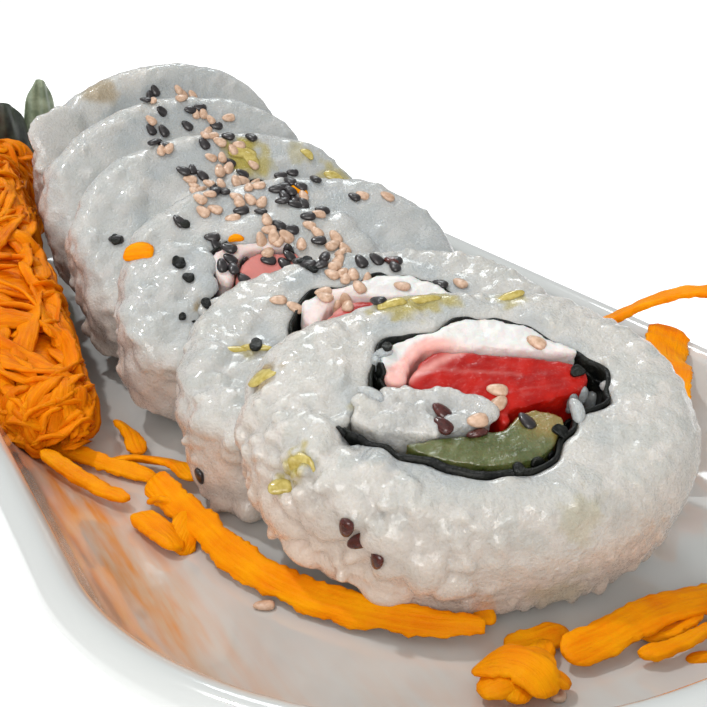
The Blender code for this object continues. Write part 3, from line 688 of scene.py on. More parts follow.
def frame_at(normal, turn):
    """Three directions at a surface: along, across and out of it."""
    aim = np.cross(normal, (math.sin(turn), math.cos(turn), 0.3))
    aim /= np.linalg.norm(aim)
    return np.array([aim, np.cross(normal, aim), normal])


# %% A ring of rice
# Share of the way from the hole to the rim, inset from the rim, and height over the back
RING = [(0.0, 0, THICK - 1.6), (0.03, 0, THICK - 0.25), (0.28, 0, THICK + 0.1), (1, 4.0, THICK + 0.1),
        (1, 2.0, THICK - 0.4), (1, 0.7, THICK - 1.6), (1, 0.0, THICK - 3.6), (1, -0.4, THICK - 7.0),
        (1, -0.4, THICK * 0.42), (1, -0.1, 4.2), (1, 0.4, 1.4), (1, 1.8, 0.2), (0.5, 0, 0.1), (0.02, 0, 0.3),
        (0.0, 0, 1.6), (0.0, 0, THICK * 0.5)]
MEAN_RADIUS, RING_SPACING = 27.0, 0.9


def ring_grid(place, spacing=RING_SPACING):
    """The smooth grid of a slice's ring of rice, in the slice's frame."""
    count = round(TAU * MEAN_RADIUS / spacing)
    angle = np.arange(count) * TAU / count
    p, q = place.warp(place.hole(angle) * np.cos(angle), place.hole(angle) * np.sin(angle))
    stations = []
    for share, inset, height in RING:
        high = np.full(count, float(height))
        edge = place.edge(angle, high) - inset
        stations.append(np.stack([p + (edge * np.cos(angle) - p) * share,
                                  q + (edge * np.sin(angle) - q) * share, high], axis=-1))
    rows = []
    for k in range(len(stations)):
        a, b, c, d = (stations[(k + step - 1) % len(stations)] for step in range(4))
        cuts = max(2, round(float(np.linalg.norm(c - b, axis=1).mean()) / spacing))
        rows += [curve_point(a, b, c, d, i / cuts) for i in range(cuts)]
    return np.concatenate(rows), grid_faces(len(rows), count, close_rows=True)


def settle(points):
    """Lets the lowest rice sink onto the well, as a soft slice does."""
    z = points[:, 2] - WELL
    low = z < 4.0
    z[low] = np.maximum(0.03, 4.0 * (z[low] - 0.8) / 3.2)
    points[:, 2] = z + WELL
    return points


def torn(place, local):
    """How torn the rice is: 1 at the left foot of the wall, less on the face, 0 elsewhere."""
    angle = np.degrees(np.arctan2(local[:, 1], local[:, 0])) % 360
    wall = np.clip((THICK + 0.5 - local[:, 2]) / 3.0, 0, 1)
    face = 0.6 if place.number in (1, 2) else 0.25
    return np.exp(-((angle - 205) / 40) ** 2) * (face + (1 - face) * wall)


# Lumps of rice pressed onto a face, by slice: angle, distance from the middle, size
SMEARS = {
    2: [(52, 17.5, 2.6), (70, 16.5, 2.8), (88, 15.5, 2.7), (104, 15.0, 2.6), (34, 18.0, 2.6),
        (18, 19.0, 2.4), (60, 13.5, 2.2), (42, 14.5, 2.2), (26, 15.5, 2.0), (150, 16.5, 1.9),
        (170, 16.0, 1.8), (22, 12.5, 2.4), (42, 10.5, 2.2), (8, 9.0, 2.0)],
    3: [(150, 15.5, 2.2), (132, 15.5, 2.4), (112, 14.5, 2.2), (90, 14.5, 2.0)],
    5: [(156, 33.0, 2.4), (150, 34.0, 2.8), (143, 33.6, 2.8), (136, 32.2, 2.4), (147, 31.0, 2.6)],
}
GRAIN_GAP, WALL_FROM = 1.9, 19.6
# For the first, the second and the other slices: how fine the skin is, how often it is smoothed, the
# share of torn grains that carry a clump, and the largest clump
VOXELS, ROUNDS = (0.40, 0.52, 0.66), (2, 2, 4)
CLUMP_SHARE, LARGEST_CLUMP = (0.26, 0.42, 0.26), (1.9, 2.3, 1.9)


def lumpy_ring(place):
    """The ring of rice without its grains, and which of its points lie outside the filling."""
    local, faces = ring_grid(place)
    faces = outward(local, faces)
    normals = normals_of(local, faces)
    outer = np.hypot(local[:, 0], local[:, 1]) > WALL_FROM
    rim = np.exp(-((local[:, 2] - THICK + 1) / 3.5) ** 2) * outer
    lumps = (0.25 + 0.4 * rim) * waves(local, 7.0, place.number) * outer
    lumps += 0.10 * waves(local, 3.2, place.number + 9)
    degrees = np.degrees(np.arctan2(local[:, 1], local[:, 0])) % 360
    wall = outer * np.clip((THICK + 0.4 - local[:, 2]) / 1.5, 0, 1)
    high = np.clip(0.5 + np.sin(np.radians(degrees)), 0, 1)
    foot = (1.4 if place.number else 3.2) * np.exp(-((degrees - 210) / 30) ** 2)
    lumps -= (0.5 - high + foot) * wall
    return local + normals * lumps[:, None], faces, normals, outer


def grain_marks(spots, centres):
    """For each point a number that its nearest grain has, and how close it is to the creases between grains,
    which are painted darker as shade.
    """
    tree = KDTree(len(centres))
    for index, spot in centres.items():
        tree.insert(spot, index)
    tree.balance()
    near = [tree.find_n(spot, 2) for spot in spots]
    grain = np.array([first[1] * 0.618 % 1 for first, _ in near])
    return grain, np.clip(1 - np.array([second[2] - first[2] for first, second in near]) / 0.5, 0, 1)


def build_rice(place):
    """One slice's rice: ring, grains, torn clumps and smeared lumps in one skin, with its colours, painted
    shade and painted bounce light.
    """
    kind = min(2, place.number)
    local, faces, normals, outer = lumpy_ring(place)
    rng = np.random.default_rng(40 + place.number)
    wanted = np.flatnonzero(outer & (local[:, 2] > 1.5))
    chosen = wanted[pick_apart(local[wanted], GRAIN_GAP, rng)]
    rough = torn(place, local)
    parts = [(local, faces, local)]
    for index in chosen:
        normal = normals[index] + rng.normal(size=3) * (0.12 + 0.3 * rough[index])
        normal /= np.linalg.norm(normal)
        size = rng.uniform(0.78, 1.05)
        depth = 1.08 - 0.18 * rng.random() - 1.5 * rough[index] * rng.random()
        spot = local[index] - normal * depth * size
        parts.append(grain_at(spot, frame_at(normal, rng.uniform(0, 3.1)) * size))
    for index in chosen[rng.random(len(chosen)) < CLUMP_SHARE[kind] * rough[chosen]]:
        size = rng.uniform(1.3, LARGEST_CLUMP[kind])
        spot = local[index] - normals[index] * (0.75 * size * rng.random())
        shape = GRAIN_POINTS * (0.8, 1.35, 1.0) * size
        parts.append(grain_at(spot, frame_at(normals[index], rng.uniform(0, 3.1)), shape))
    for degrees, distance, size in SMEARS.get(place.number, []):
        angle = math.radians(degrees)
        p, q = place.warp(distance * math.cos(angle), distance * math.sin(angle))
        shape = GRAIN_POINTS * (0.75, 1.1, 0.5) * size
        turn = frame_at(np.array((0.0, 0, 1.0)), rng.uniform(0, 3.1))
        parts.append(grain_at(np.array((p, q, THICK + 0.1)), turn, shape))
    points, faces, _ = join(parts)
    spots, quads = even_mesh(points, faces, VOXELS[kind], ROUNDS[kind])
    relief = 0.04 * waves(spots, 1.3, place.number) + 0.03 * waves(spots, 0.8, 7)
    spots = spots + normals_of(spots, quads) * relief[:, None]
    grain, crease = grain_marks(spots, {int(index): local[index] for index in chosen})
    # Painted bounce light: the lower front of each wall is tinted pale orange, as if lit by light off the
    # carrot.
    low = np.clip((THICK - spots[:, 2]) / THICK, 0, 1) * np.clip(0.6 - spots[:, 1] / 20, 0, 1)
    warm = np.clip(0.06 + 0.85 * low * (waves(spots, 12.0, 3) * 0.35 + 0.65), 0, 0.85)
    inner = np.exp(-((np.hypot(spots[:, 0], spots[:, 1] - 1) - 17.5) / 2.6) ** 2)
    inner *= spots[:, 2] > THICK - 3
    # Painted shade: the slices behind the front one are darker and greyer-blue, the far ones most on their
    # right. Near the hole the grey-blue is a nori stain.
    behind, far = float(place.number > 0), float(place.number > 1)
    cool = 0.14 * behind + (0.16 + 0.3 * np.clip(spots[:, 0] / 32, 0, 1)) * far
    cool += 0.5 * inner * (0.5 + waves(spots, 4.0, 8)) + 0.25 * behind * waves(spots, 9.0, 2)
    blank = np.zeros(len(spots))
    number = place.number + 1
    return add_piece("rice_ring_%d" % number, settle(stand(place, spots)), quads, RICE, ["rice_%d" % number],
                     "rice", place=spots, grain=grain, crease=crease, warm=warm, cool=np.clip(cool, 0, 0.6),
                     yellow=blank, brown=blank)


rice_pieces = [build_rice(place) for place in SLICES]
print("rice faces:", sum(len(piece.data.polygons) for piece in rice_pieces))

# %% [markdown]
# ## Nori
# One sheet of nori wraps the filling, less than a millimetre thick, softened by the rice so that
# it crinkles. It is a closed ribbon that follows the hole with a wavy edge.


# %% The nori ribbons
def build_nori(place):
    """One sheet of nori round a filling, thinner over the cream, with a ragged edge at the face."""
    count = 300 if place.number < 2 else 150
    angle = np.radians(np.linspace(NORI_FROM, NORI_TO, count))
    flat = np.stack([np.cos(angle) * 14, np.sin(angle) * 14, np.full(count, 1.0 * place.number)], axis=-1)
    crinkle = 0.22 * waves(flat, 1.5, 2) + 0.3 * waves(flat, 3.5, 3)
    crown = np.exp(-((np.degrees(angle) - 450) / 50) ** 2)
    thick = NORI * (0.95 - 0.4 * crown + 0.45 * waves(flat, 2.4, 4))
    rows = []
    loop_a = np.concatenate([angle, angle[::-1]])
    for height in np.linspace(0.7, THICK + 0.2, 14):
        up = flat + (0, 0, height * 0.35)
        outer = place.hole(angle) - 0.12 + crinkle * 0.6 + 0.2 * waves(up, 1.7, 5)
        inner = outer - thick
        edge = (0.45 * waves(flat, 1.8, 6) - 0.25) * (height > THICK - 1)
        loop_r = np.concatenate([outer, inner[::-1]])
        p, q = place.warp(loop_r * np.cos(loop_a), loop_r * np.sin(loop_a))
        rows.append(np.stack([p, q, height + np.concatenate([edge, edge[::-1]])], axis=-1))
    loop = 2 * count
    faces = grid_faces(len(rows), loop)
    for base, turned in ((0, True), ((len(rows) - 1) * loop, False)):
        for i in range(count - 1):
            quad = [base + i, base + i + 1, base + loop - 2 - i, base + loop - 1 - i]
            faces.append(quad[::-1] if turned else quad)
    local = np.concatenate(rows)
    number = place.number + 1
    return add_piece("nori_sheet_%d" % number, stand(place, local), outward(local, faces), NORI_FINISH,
                     ["nori_%d" % number], "nori", place=local)


nori_pieces = [build_nori(place) for place in SLICES]
print("nori sheets:", len(nori_pieces))

# %% [markdown]
# ## The fillings
# Cream cheese lies on top, a red strip under it, a green slice at the bottom, and a tongue of rice
# reaches in from the left. Each runs through the whole slice. A prism of the outline is remeshed
# to small even faces, so the cut ends can swell and ripple like wet food.

# %% Outlines, in the slice's frame
CREAM = [(-11.4, 10.4), (-4.1, 13.0), (3.3, 15.2), (9.0, 14.0), (13.2, 9.6), (16.6, 5.8),
         (5.0, 8.2), (-5.0, 9.5), (-8.8, 5.6), (-10.2, 2.8), (-12.3, 3.4), (-12.7, 6.9)]
RED = [(-4.4, 8.7), (5.0, 7.2), (14.6, 4.4), (16.8, 1.8), (14.6, -1.2), (6.6, -3.3), (3.7, -3.7),
       (2.9, -6.0), (1.6, -6.0), (1.1, -2.9), (-3.4, -0.4), (-9.4, 2.6)]
GREEN = [(-12.2, -8.5), (-8.4, -7.9), (1.5, -7.2), (4.4, -4.9), (7.4, -4.2), (10.4, -6.6),
         (8.6, -9.8), (5.0, -12.8), (-0.6, -13.6), (-7.1, -12.0)]
TONGUE = [(-18.8, -2.7), (-17.0, -0.6), (-12.6, 0.0), (-8.0, 1.1), (-4.0, -0.9), (-0.4, -3.0),
          (0.2, -5.6), (-3.0, -6.8), (-10.0, -7.1), (-15.2, -6.0), (-17.6, -4.4)]


# %% A filling inside the nori
def clear_of_nori(place, outline, margin):
    """Keeps a filling's outline inside the nori, or inside the rice beside the notch."""
    angle = np.arctan2(outline[:, 1], outline[:, 0]) % TAU
    radius = np.hypot(outline[:, 0], outline[:, 1])
    notch = (angle > math.radians(NORI_TO - 360)) & (angle < math.radians(NORI_FROM))
    limit = place.hole(angle) - np.where(notch, margin, margin + NORI + 0.1)
    return outline * np.minimum(1.0, limit / radius)[:, None]


# Grains that lie on the tongue of the front slice: the spot in the picture, turn and size
TONGUE_GRAINS = [(366, 404, 0.3, 0.9), (376, 412, 1.1, 0.9), (388, 404, 2.0, 0.95), (397, 398, 0.7, 0.9),
                 (410, 400, 1.5, 0.9), (404, 414, 0.1, 0.95), (424, 400, 0.5, 0.9), (418, 416, 2.3, 0.9),
                 (440, 402, 1.9, 0.9), (456, 400, 0.9, 0.9), (470, 404, 0.2, 0.9), (484, 408, 1.3, 0.85),
                 (488, 420, 2.6, 0.8), (390, 424, 0.4, 0.95), (430, 426, 1.2, 0.9), (458, 424, 0.2, 0.9)]


def build_filling(place, name, node, outline, reach, finish, slot, ripple, paints):
    """One filling, from the slice's back to a little beyond its face, with its painted values."""
    loop = clear_of_nori(place, smooth_loop(outline, 6), 0.1)
    rows = [np.stack([*place.warp(loop[:, 0], loop[:, 1]), np.full(len(loop), h)], axis=-1)
            for h in (0.9, THICK + reach)]
    points, faces = np.concatenate(rows), grid_faces(2, len(loop))
    faces.append(list(range(len(loop))))
    faces.append([len(loop) + i for i in range(len(loop))])
    faces = outward(points, faces[:-2] + [faces[-2][::-1], faces[-1]])
    parts = [(points, faces, points)]
    for u, v, turn, size in (TONGUE_GRAINS if name == "rice_tongue" and place.number == 0 else ()):
        lie = place.face_spot(u, v) + (0, 0, 0.5)
        parts.append(grain_at(lie, frame_at(np.array((0.1, -0.1, 1.0)), turn) * size))
    points, faces, _ = join(parts)
    spots, quads = even_mesh(points, faces, 0.42 if place.number == 0 else 0.7)
    normals = normals_of(spots, quads)
    swell = ripple * (waves(spots, 2.6, 5) + 0.6 * waves(spots, 1.2, 6)) + 0.12 * waves(spots, 0.6, 7)
    spots = spots + normals * swell[:, None]
    values = {key: paint(spots) for key, paint in paints.items()}
    if place.number and "pink" in values:
        values["pink"] = 0.35 * values["pink"]
    if place.number == 2 and "streak" in values:
        # The third slice's red strip shows pink through the rice that is smeared over it
        values["streak"] = np.clip(values["streak"] + 0.6, 0, 1)
    number = place.number + 1
    return add_piece("%s_%d" % (name, number), stand(place, spots), quads, finish, ["%s_%d" % (node, number)],
                     slot, place=spots, **values)


def pink_edge(spots):
    """Where the cream has taken the red strip's colour: just above it."""
    line = 8.3 - 0.28 * (spots[:, 0] - 5) - np.maximum(0, -5 - spots[:, 0]) * 1.1
    near = np.clip(1.0 - (spots[:, 1] - line) / 1.3 + 0.4 * waves(spots, 2.5, 1), 0, 1)
    return near * np.clip((2.0 - spots[:, 0]) / 8.0, 0.12, 0.75)


def pale_streak(spots):
    """White streaks along the red strip."""
    along = spots[:, 1] + 0.22 * spots[:, 0]
    lines = np.exp(-((along - 4.2 + 0.3 * waves(spots, 3.0, 2)) / 0.4) ** 2) * (spots[:, 0] < 7)
    side = np.exp(-((spots[:, 0] * 0.55 - spots[:, 1] + 9.0) / 0.9) ** 2)
    fibre = waves(spots * (0.3, 2.0, 1.0), 1.2, 3) > 0.45
    return np.clip(0.18 * lines + 0.75 * side + 0.06 * fibre, 0, 1)


def brown_tip(spots):
    """The green slice turns yellow-brown towards its upper right."""
    return np.clip((spots[:, 0] - 3.0) / 5.0 + (spots[:, 1] + 8.0) / 5.0 + 0.3 * waves(spots, 3.0, 4), 0, 1)


# The tongue's creases are painted darker as shade; it also takes a faint painted bounce tint and a grey-blue
# tint.
TONGUE_PAINTS = dict(
    grain=lambda spots: 0.5 + 0.5 * waves(spots, 2.0, 1),
    crease=lambda spots: 0.3 * (waves(spots, 1.6, 2) > 0.3),
    warm=lambda spots: np.full(len(spots), 0.10),
    cool=lambda spots: np.clip(0.26 + 0.35 * waves(spots, 4.0, 3), 0, 0.6),
    yellow=lambda spots: np.zeros(len(spots)),
    brown=lambda spots: np.zeros(len(spots)))
# Name, node, outline, reach beyond the face, finish, slot, ripple and painted values
FILLINGS = (
    ("cream_filling", "cream", CREAM, 0.7, CREAM_FINISH, "cream", 0.25, dict(pink=pink_edge)),
    ("red_strip", "red", RED, 0.2, RED_FINISH, "red", 0.16, dict(streak=pale_streak)),
    ("green_filling", "green", GREEN, 0.0, GREEN_FINISH, "green", 0.25, dict(tip=brown_tip)),
    ("rice_tongue", "tongue", TONGUE, 0.7, RICE, "rice", 0.35, TONGUE_PAINTS))
filling_pieces = [build_filling(place, *filling) for place in SLICES for filling in FILLINGS]
print("fillings:", len(filling_pieces))


# %% Where a line of sight meets the food
def sight_tree(pieces):
    """The pieces as one shape that a line of sight can be followed to."""
    points, faces = [], []
    for piece in pieces:
        start = len(points)
        points += [tuple(v.co) for v in piece.data.vertices]
        faces += [[start + i for i in face.vertices] for face in piece.data.polygons]
    return BVHTree.FromPolygons(points, faces)


FOOD = sight_tree(rice_pieces + filling_pieces + nori_pieces)
PLATE = sight_tree([dish])


def sight(u, v, tree=FOOD):
    """The point and the surface direction where the line of sight through (u, v) lands."""
    spot, normal, _, _ = tree.ray_cast(Vector(EYE * MM), Vector(line_of_sight(u, v)))
    return (None, None) if spot is None else (np.array(spot) / MM, np.array(normal))


print("line of sight to the front slice:", sight(470, 400)[0].round(1))

# %% [markdown]
# ## Sesame
# A hulled sesame seed is a flat teardrop three millimetres long. One seed's shape is repeated,
# turned and joined, one piece for each colour. The black ones are unhulled, and the dark red-brown
# ones are wet.


# %% One seed's shape
def seed_shape(rings=7, sides=10):
    """A flat teardrop along x, about 3.2 by 2.0 by 1.1 millimetres."""
    rows = []
    for i in range(rings):
        t = i / (rings - 1)
        x = 1.55 * math.cos(math.pi * (0.06 + 0.88 * t))
        wide = 1.06 * math.sin(math.pi * (0.06 + 0.88 * t)) ** 0.7 * (1.0 - 0.26 * x / 1.6)
        rows.append([(x, wide * math.cos(TAU * k / sides), 0.55 * wide * math.sin(TAU * k / sides))
                     for k in range(sides)])
    points, faces = tube(rows)
    return points, outward(points, faces)


SEED_POINTS, SEED_FACES = seed_shape()
seeds = {"black": [], "beige": [], "brown": []}


def lay_seed(kind, spot, normal, turn, size=1.0, sink=0.25):
    """Notes a seed that lies flat on the surface at a spot."""
    seeds[kind].append((spot + normal * sink * size, frame_at(normal, turn) * size))


def lay_seed_at(kind, u, v, turn=0.0, size=1.0, sink=0.25, tree=FOOD):
    """Notes a seed where the line of sight through (u, v) lands."""
    spot, normal = sight(u, v, tree)
    if spot is not None:
        lay_seed(kind, spot, normal, turn, size, sink)


# %% The seeds that the photograph shows one by one
# Each seed's spot in the picture and its turn
SEEN_SEEDS = {
    "black": [(526, 422, 1.5), (440, 285, 1.2), (378, 302, 1.3), (376, 260, 1.0), (394, 262, 0.4),
              (361, 262, 1.6), (226, 248, 0.2), (230, 260, 1.0), (222, 266, 2.0), (212, 238, 0.3),
              (244, 280, 1.2), (268, 261, 0.3), (284, 264, 1.4), (308, 265, 0.7), (288, 250, 0.9),
              (279, 226, 1.2), (291, 230, 0.5), (276, 190, 0.3), (290, 182, 1.3), (300, 187, 0.9),
              (294, 205, 0.2), (284, 196, 1.7), (322, 211, 0.2), (308, 217, 0.4), (224, 192, 1.5),
              (242, 174, 0.4), (229, 163, 0.8), (204, 144, 1.4), (216, 126, 0.3), (187, 126, 0.9),
              (200, 108, 0.2), (161, 111, 0.1), (151, 130, 1.4), (155, 91, 1.5), (228, 137, 0.7),
              (251, 138, 1.2), (164, 146, 0.8), (202, 176, 1.1), (315, 180, 1.5), (201, 476, 0.5),
              (179, 222, 1.3), (116, 240, 0.3)],
    "beige": [(497, 391, 0.7), (499, 404, 2.8), (477, 421, 0.2), (536, 343, 1.0), (460, 284, 1.4),
              (325, 298, 1.1), (337, 307, 0.4), (345, 300, 1.8), (278, 301, 0.2), (294, 308, 0.7),
              (366, 279, 0.9), (353, 275, 2.1), (332, 275, 1.2), (402, 287, 1.0), (344, 249, 1.4),
              (387, 197, 0.8), (318, 215, 0.1), (190, 180, 0.4), (203, 212, 1.2), (215, 210, 0.8),
              (233, 219, 0.3), (250, 200, 1.5)],
    "brown": [(441, 412, 1.2), (443, 426, 1.3), (477, 435, 0.1), (347, 527, 0.3), (358, 541, 0.5),
              (378, 560, 0.8), (392, 262, 0.9)],
}
for kind, spots in SEEN_SEEDS.items():
    for u, v, turn in spots:
        lay_seed_at(kind, u, v, turn)

# %% The rest of the trail, scattered along it
# Start and end of each stretch, its spread, how many seeds are tried, and the share of black ones
TRAIL = [
    ((150, 90), (165, 150), 13, 26, 0.3), ((185, 95), (240, 170), 20, 44, 0.25),
    ((180, 178), (260, 180), 12, 20, 0.1), ((205, 190), (280, 215), 10, 22, 0.15),
    ((290, 182), (298, 206), 12, 22, 0.9), ((222, 246), (240, 268), 9, 13, 1.0),
    ((262, 238), (350, 246), 10, 30, 0.2), ((266, 258), (325, 268), 8, 14, 0.8),
    ((320, 262), (360, 282), 10, 20, 0.0), ((360, 258), (400, 268), 5, 6, 0.7),
    ((320, 296), (350, 306), 7, 8, 0.0), ((345, 200), (370, 196), 8, 4, 0.1),
    ((300, 205), (322, 232), 7, 10, 0.4)]
rng = random.Random(5)
laid = [spot for group in seeds.values() for spot, _ in group]
for start, end, spread, count, dark in TRAIL:
    for _ in range(count):
        along = rng.random()
        u = start[0] + (end[0] - start[0]) * along + rng.gauss(0, spread * 0.5)
        v = start[1] + (end[1] - start[1]) * along + rng.gauss(0, spread * 0.5)
        spot, normal = sight(u, v)
        if spot is not None and all(np.sum((spot - other) ** 2) > 2.6 for other in laid):
            lay_seed("black" if rng.random() < dark else "beige", spot, normal, rng.uniform(0, 3),
                     rng.uniform(0.85, 1.08), rng.uniform(0.2, 0.8))
            laid.append(spot)
for u, v, turn in ((264, 608, 0.4), (558, 697, 2.2)):
    lay_seed_at("beige", u, v, turn, sink=0.45, tree=PLATE)

# %% [markdown]
# ## Loose grains and nori flakes
# Between the nori and the filling lie single grains, stained grey-blue by the sheet, and small
# crumpled flakes of nori. The black folds at both ends of the opening are such flakes.


# %% A crumpled flake
def flake_at(u, v, width, length, turn, seed):
    """A crumpled flake of nori, width by length millimetres, flat on the food at (u, v)."""
    spot, normal = sight(u, v)
    cells = np.linspace(-1, 1, 9)
    a, b = (grid.ravel() for grid in np.meshgrid(cells, cells))
    a, b = a * np.sqrt(1 - 0.5 * b * b), b * np.sqrt(1 - 0.5 * a * a)
    flat = np.stack([a * width / 2, b * length / 2, np.full(len(a), seed * 4.0)], axis=-1)
    edge = 1 + 0.35 * waves(flat, 1.2, 2)
    rise = 0.4 + 0.45 * waves(flat, 1.2, 3) + 0.12 * waves(flat, 0.6, 5)
    lower, upper = (np.stack([flat[:, 0] * edge, flat[:, 1] * edge, rise + up], axis=-1)
                    for up in (-0.25, 0.25))
    points, faces = sheet(lower, upper, len(cells))
    return spot + points @ frame_at(normal, turn), faces, points + (0, 0, seed * 4.0)


# %% Single grains between the nori and the filling: spot in the picture, turn, size and greyness
LOOSE_GRAINS = [
    (590, 403, 0.3, 0.95, 0.6), (582, 396, 1.2, 0.8, 0.7), (578, 411, 2.1, 0.8, 0.5),
    (572, 402, 0.9, 0.75, 0.7), (381, 354, 0.4, 0.7, 0.7), (377, 364, 1.6, 0.7, 0.7),
    (372, 394, 1.0, 0.8, 0.5)]
laid = []
for u, v, turn, size, _ in LOOSE_GRAINS:
    spot, normal = sight(u, v)
    laid.append((spot - 0.1 * normal, frame_at(normal, turn) * size))
points, faces, place = copies(GRAIN_POINTS, GRAIN_FACES, laid, 5.3)
points[:, 2] = np.maximum(points[:, 2], WELL + 0.05)
order = np.repeat(np.arange(len(laid)), len(GRAIN_POINTS))
blank = np.zeros(len(points))
add_piece("rice_grains", points, faces, RICE, slot="rice", place=place, grain=order * 0.618 % 1,
          cool=np.array([grain[4] for grain in LOOSE_GRAINS])[order], crease=blank, warm=blank,
          yellow=blank, brown=blank)

# %% Flakes of nori: spot in the picture, width, length and turn
FLAKES = [
    (383, 372, 2.4, 2.6, 0.2), (383, 385, 2.6, 2.4, 1.3), (379, 379, 2.0, 2.6, 0.7),
    (387, 350, 1.4, 2.4, 0.5), (576, 372, 2.4, 2.0, 0.3), (588, 378, 2.6, 2.2, 1.1),
    (598, 384, 2.0, 2.6, 0.4), (566, 424, 2.6, 2.2, 0.8), (560, 432, 2.0, 2.4, 0.1),
    (549, 455, 1.8, 1.6, 0.9), (536, 462, 1.6, 1.6, 0.2), (520, 470, 1.8, 1.4, 1.4),
    (343, 430, 1.6, 2.2, 0.6), (256, 346, 2.0, 3.4, 0.4), (306, 262, 2.6, 2.4, 0.9),
    (312, 269, 2.4, 2.0, 0.2), (206, 304, 1.6, 2.0, 0.3), (182, 318, 1.6, 1.6, 0.9),
    (116, 241, 2.4, 2.6, 0.6), (178, 263, 2.6, 3.0, 0.2), (187, 278, 2.2, 2.4, 1.2),
    (183, 225, 2.8, 1.4, 0.6)]
points, faces, place = join([flake_at(*flake, seed) for seed, flake in enumerate(FLAKES)])
add_piece("nori_flakes", points, faces, NORI_FINISH, slot="nori", place=place)
print("grains:", len(LOOSE_GRAINS), "flakes:", len(FLAKES))

# %% Crumbs of carrot and of a yellow pickle, each one flat and pressed in
# Spot in the picture, turn, length and width
CRUMBS = {
    "carrot_crumbs": (CARROT, "carrot", [
        (139, 251, 0.5, 1.0, 1.05), (300, 190, 1.0, 0.7, 0.6), (705, 657, 0.3, 0.9, 0.7),
        (236, 238, 0.4, 0.5, 0.4)]),
    "yellow_crumbs": (YELLOW_BIT, "green", [
        (243, 152, 0.3, 1.1, 0.9), (252, 160, 1.4, 0.9, 0.8), (334, 176, 0.6, 0.8, 0.7),
        (308, 154, 1.2, 0.6, 0.5), (238, 350, 0.2, 1.1, 0.45), (256, 347, 0.6, 0.9, 0.4),
        (299, 463, 0.9, 0.9, 0.9), (280, 486, 0.3, 0.6, 0.6), (262, 376, 0.3, 0.8, 0.9),
        (392, 303, 0.2, 0.9, 0.5), (424, 299, 0.1, 1.0, 0.5), (510, 296, 0.1, 0.8, 0.4)]),
}
for name, (finish, slot, spots) in CRUMBS.items():
    parts = []
    for number, (u, v, turn, long, wide) in enumerate(spots):
        spot, normal = sight(u, v)
        if spot is None:
            spot, normal = sight(u, v, PLATE)
        uneven = 1 + 0.2 * waves(GRAIN_POINTS + number, 1.4, 3)[:, None]
        shape = GRAIN_POINTS * (1.1 * long, 1.5 * wide, 0.45) * uneven
        parts.append((spot + shape @ frame_at(normal, turn), GRAIN_FACES, shape + (number * 7.0, 0, 0)))
    points, faces, place = join(parts)
    add_piece(name, points, faces, finish, slot=slot, place=place)

# %% Join the seeds, one piece for each colour
for kind, finish in (("black", BLACK_SEED), ("beige", BEIGE_SEED), ("brown", BROWN_SEED)):
    points, faces, place = copies(SEED_POINTS, SEED_FACES, seeds[kind], 5.0)
    add_piece("sesame_" + kind, points, faces, finish, slot="rice", place=place)
    print("sesame", kind, len(seeds[kind]))


# %% Stains on the rice, and painted shade on the front slice's lower right wall, painted round the spots where they show
def stain(name, u, v, size, strength):
    """Raises a stored value round the point where a line of sight lands."""
    spot, _ = sight(u, v)
    if spot is None:
        return
    for piece in rice_pieces:
        count = len(piece.data.vertices)
        points = np.empty(count * 3)
        piece.data.vertices.foreach_get("co", points)
        points = points.reshape(-1, 3) / MM
        values = np.empty(count)
        layer = piece.data.attributes[name].data
        layer.foreach_get("value", values)
        off = np.linalg.norm(points - spot, axis=1) / size + 0.55 * waves(points, size * 0.45, 4)
        layer.foreach_set("value", np.maximum(values, strength * np.clip(1.3 - off * off, 0, 1)))


for name, u, v, size, strength in (
        ("yellow", 299, 463, 2.2, 0.95), ("yellow", 290, 472, 1.5, 0.8), ("yellow", 279, 485, 1.4, 0.9),
        ("yellow", 362, 400, 2.2, 0.6), ("cool", 372, 452, 2.6, 0.5), ("cool", 395, 460, 2.6, 0.55),
        ("cool", 420, 467, 2.4, 0.55), ("cool", 446, 474, 2.2, 0.5), ("cool", 350, 440, 2.0, 0.4),
        ("brown", 265, 377, 2.6, 0.8), ("yellow", 388, 304, 3.0, 0.75), ("yellow", 410, 300, 3.2, 0.8),
        # Painted shade: the two weak, broad yellow spots at 585, 520 and 560, 592 make the lower right of the
        # front slice's wall darker and yellower.
        ("yellow", 436, 297, 3.2, 0.75), ("yellow", 510, 296, 2.6, 0.6), ("yellow", 585, 520, 3.5, 0.22),
        ("yellow", 560, 592, 4.0, 0.25), ("yellow", 243, 153, 5.0, 0.95), ("yellow", 252, 162, 4.0, 0.8),
        ("yellow", 333, 176, 3.6, 0.6), ("yellow", 302, 153, 3.0, 0.4), ("brown", 95, 88, 5.0, 0.6),
        ("brown", 201, 305, 1.6, 0.7), ("yellow", 250, 350, 2.0, 0.5)):
    stain(name, u, v, size, strength)
print("stains done")

# %% [markdown]
# ## Carrot
# Shredded carrot is cut into flat strips with ragged edges that twist a little. Each strip that
# lies apart follows its own route, and the heap beside the row is a dense pile of real strips over
# a core.


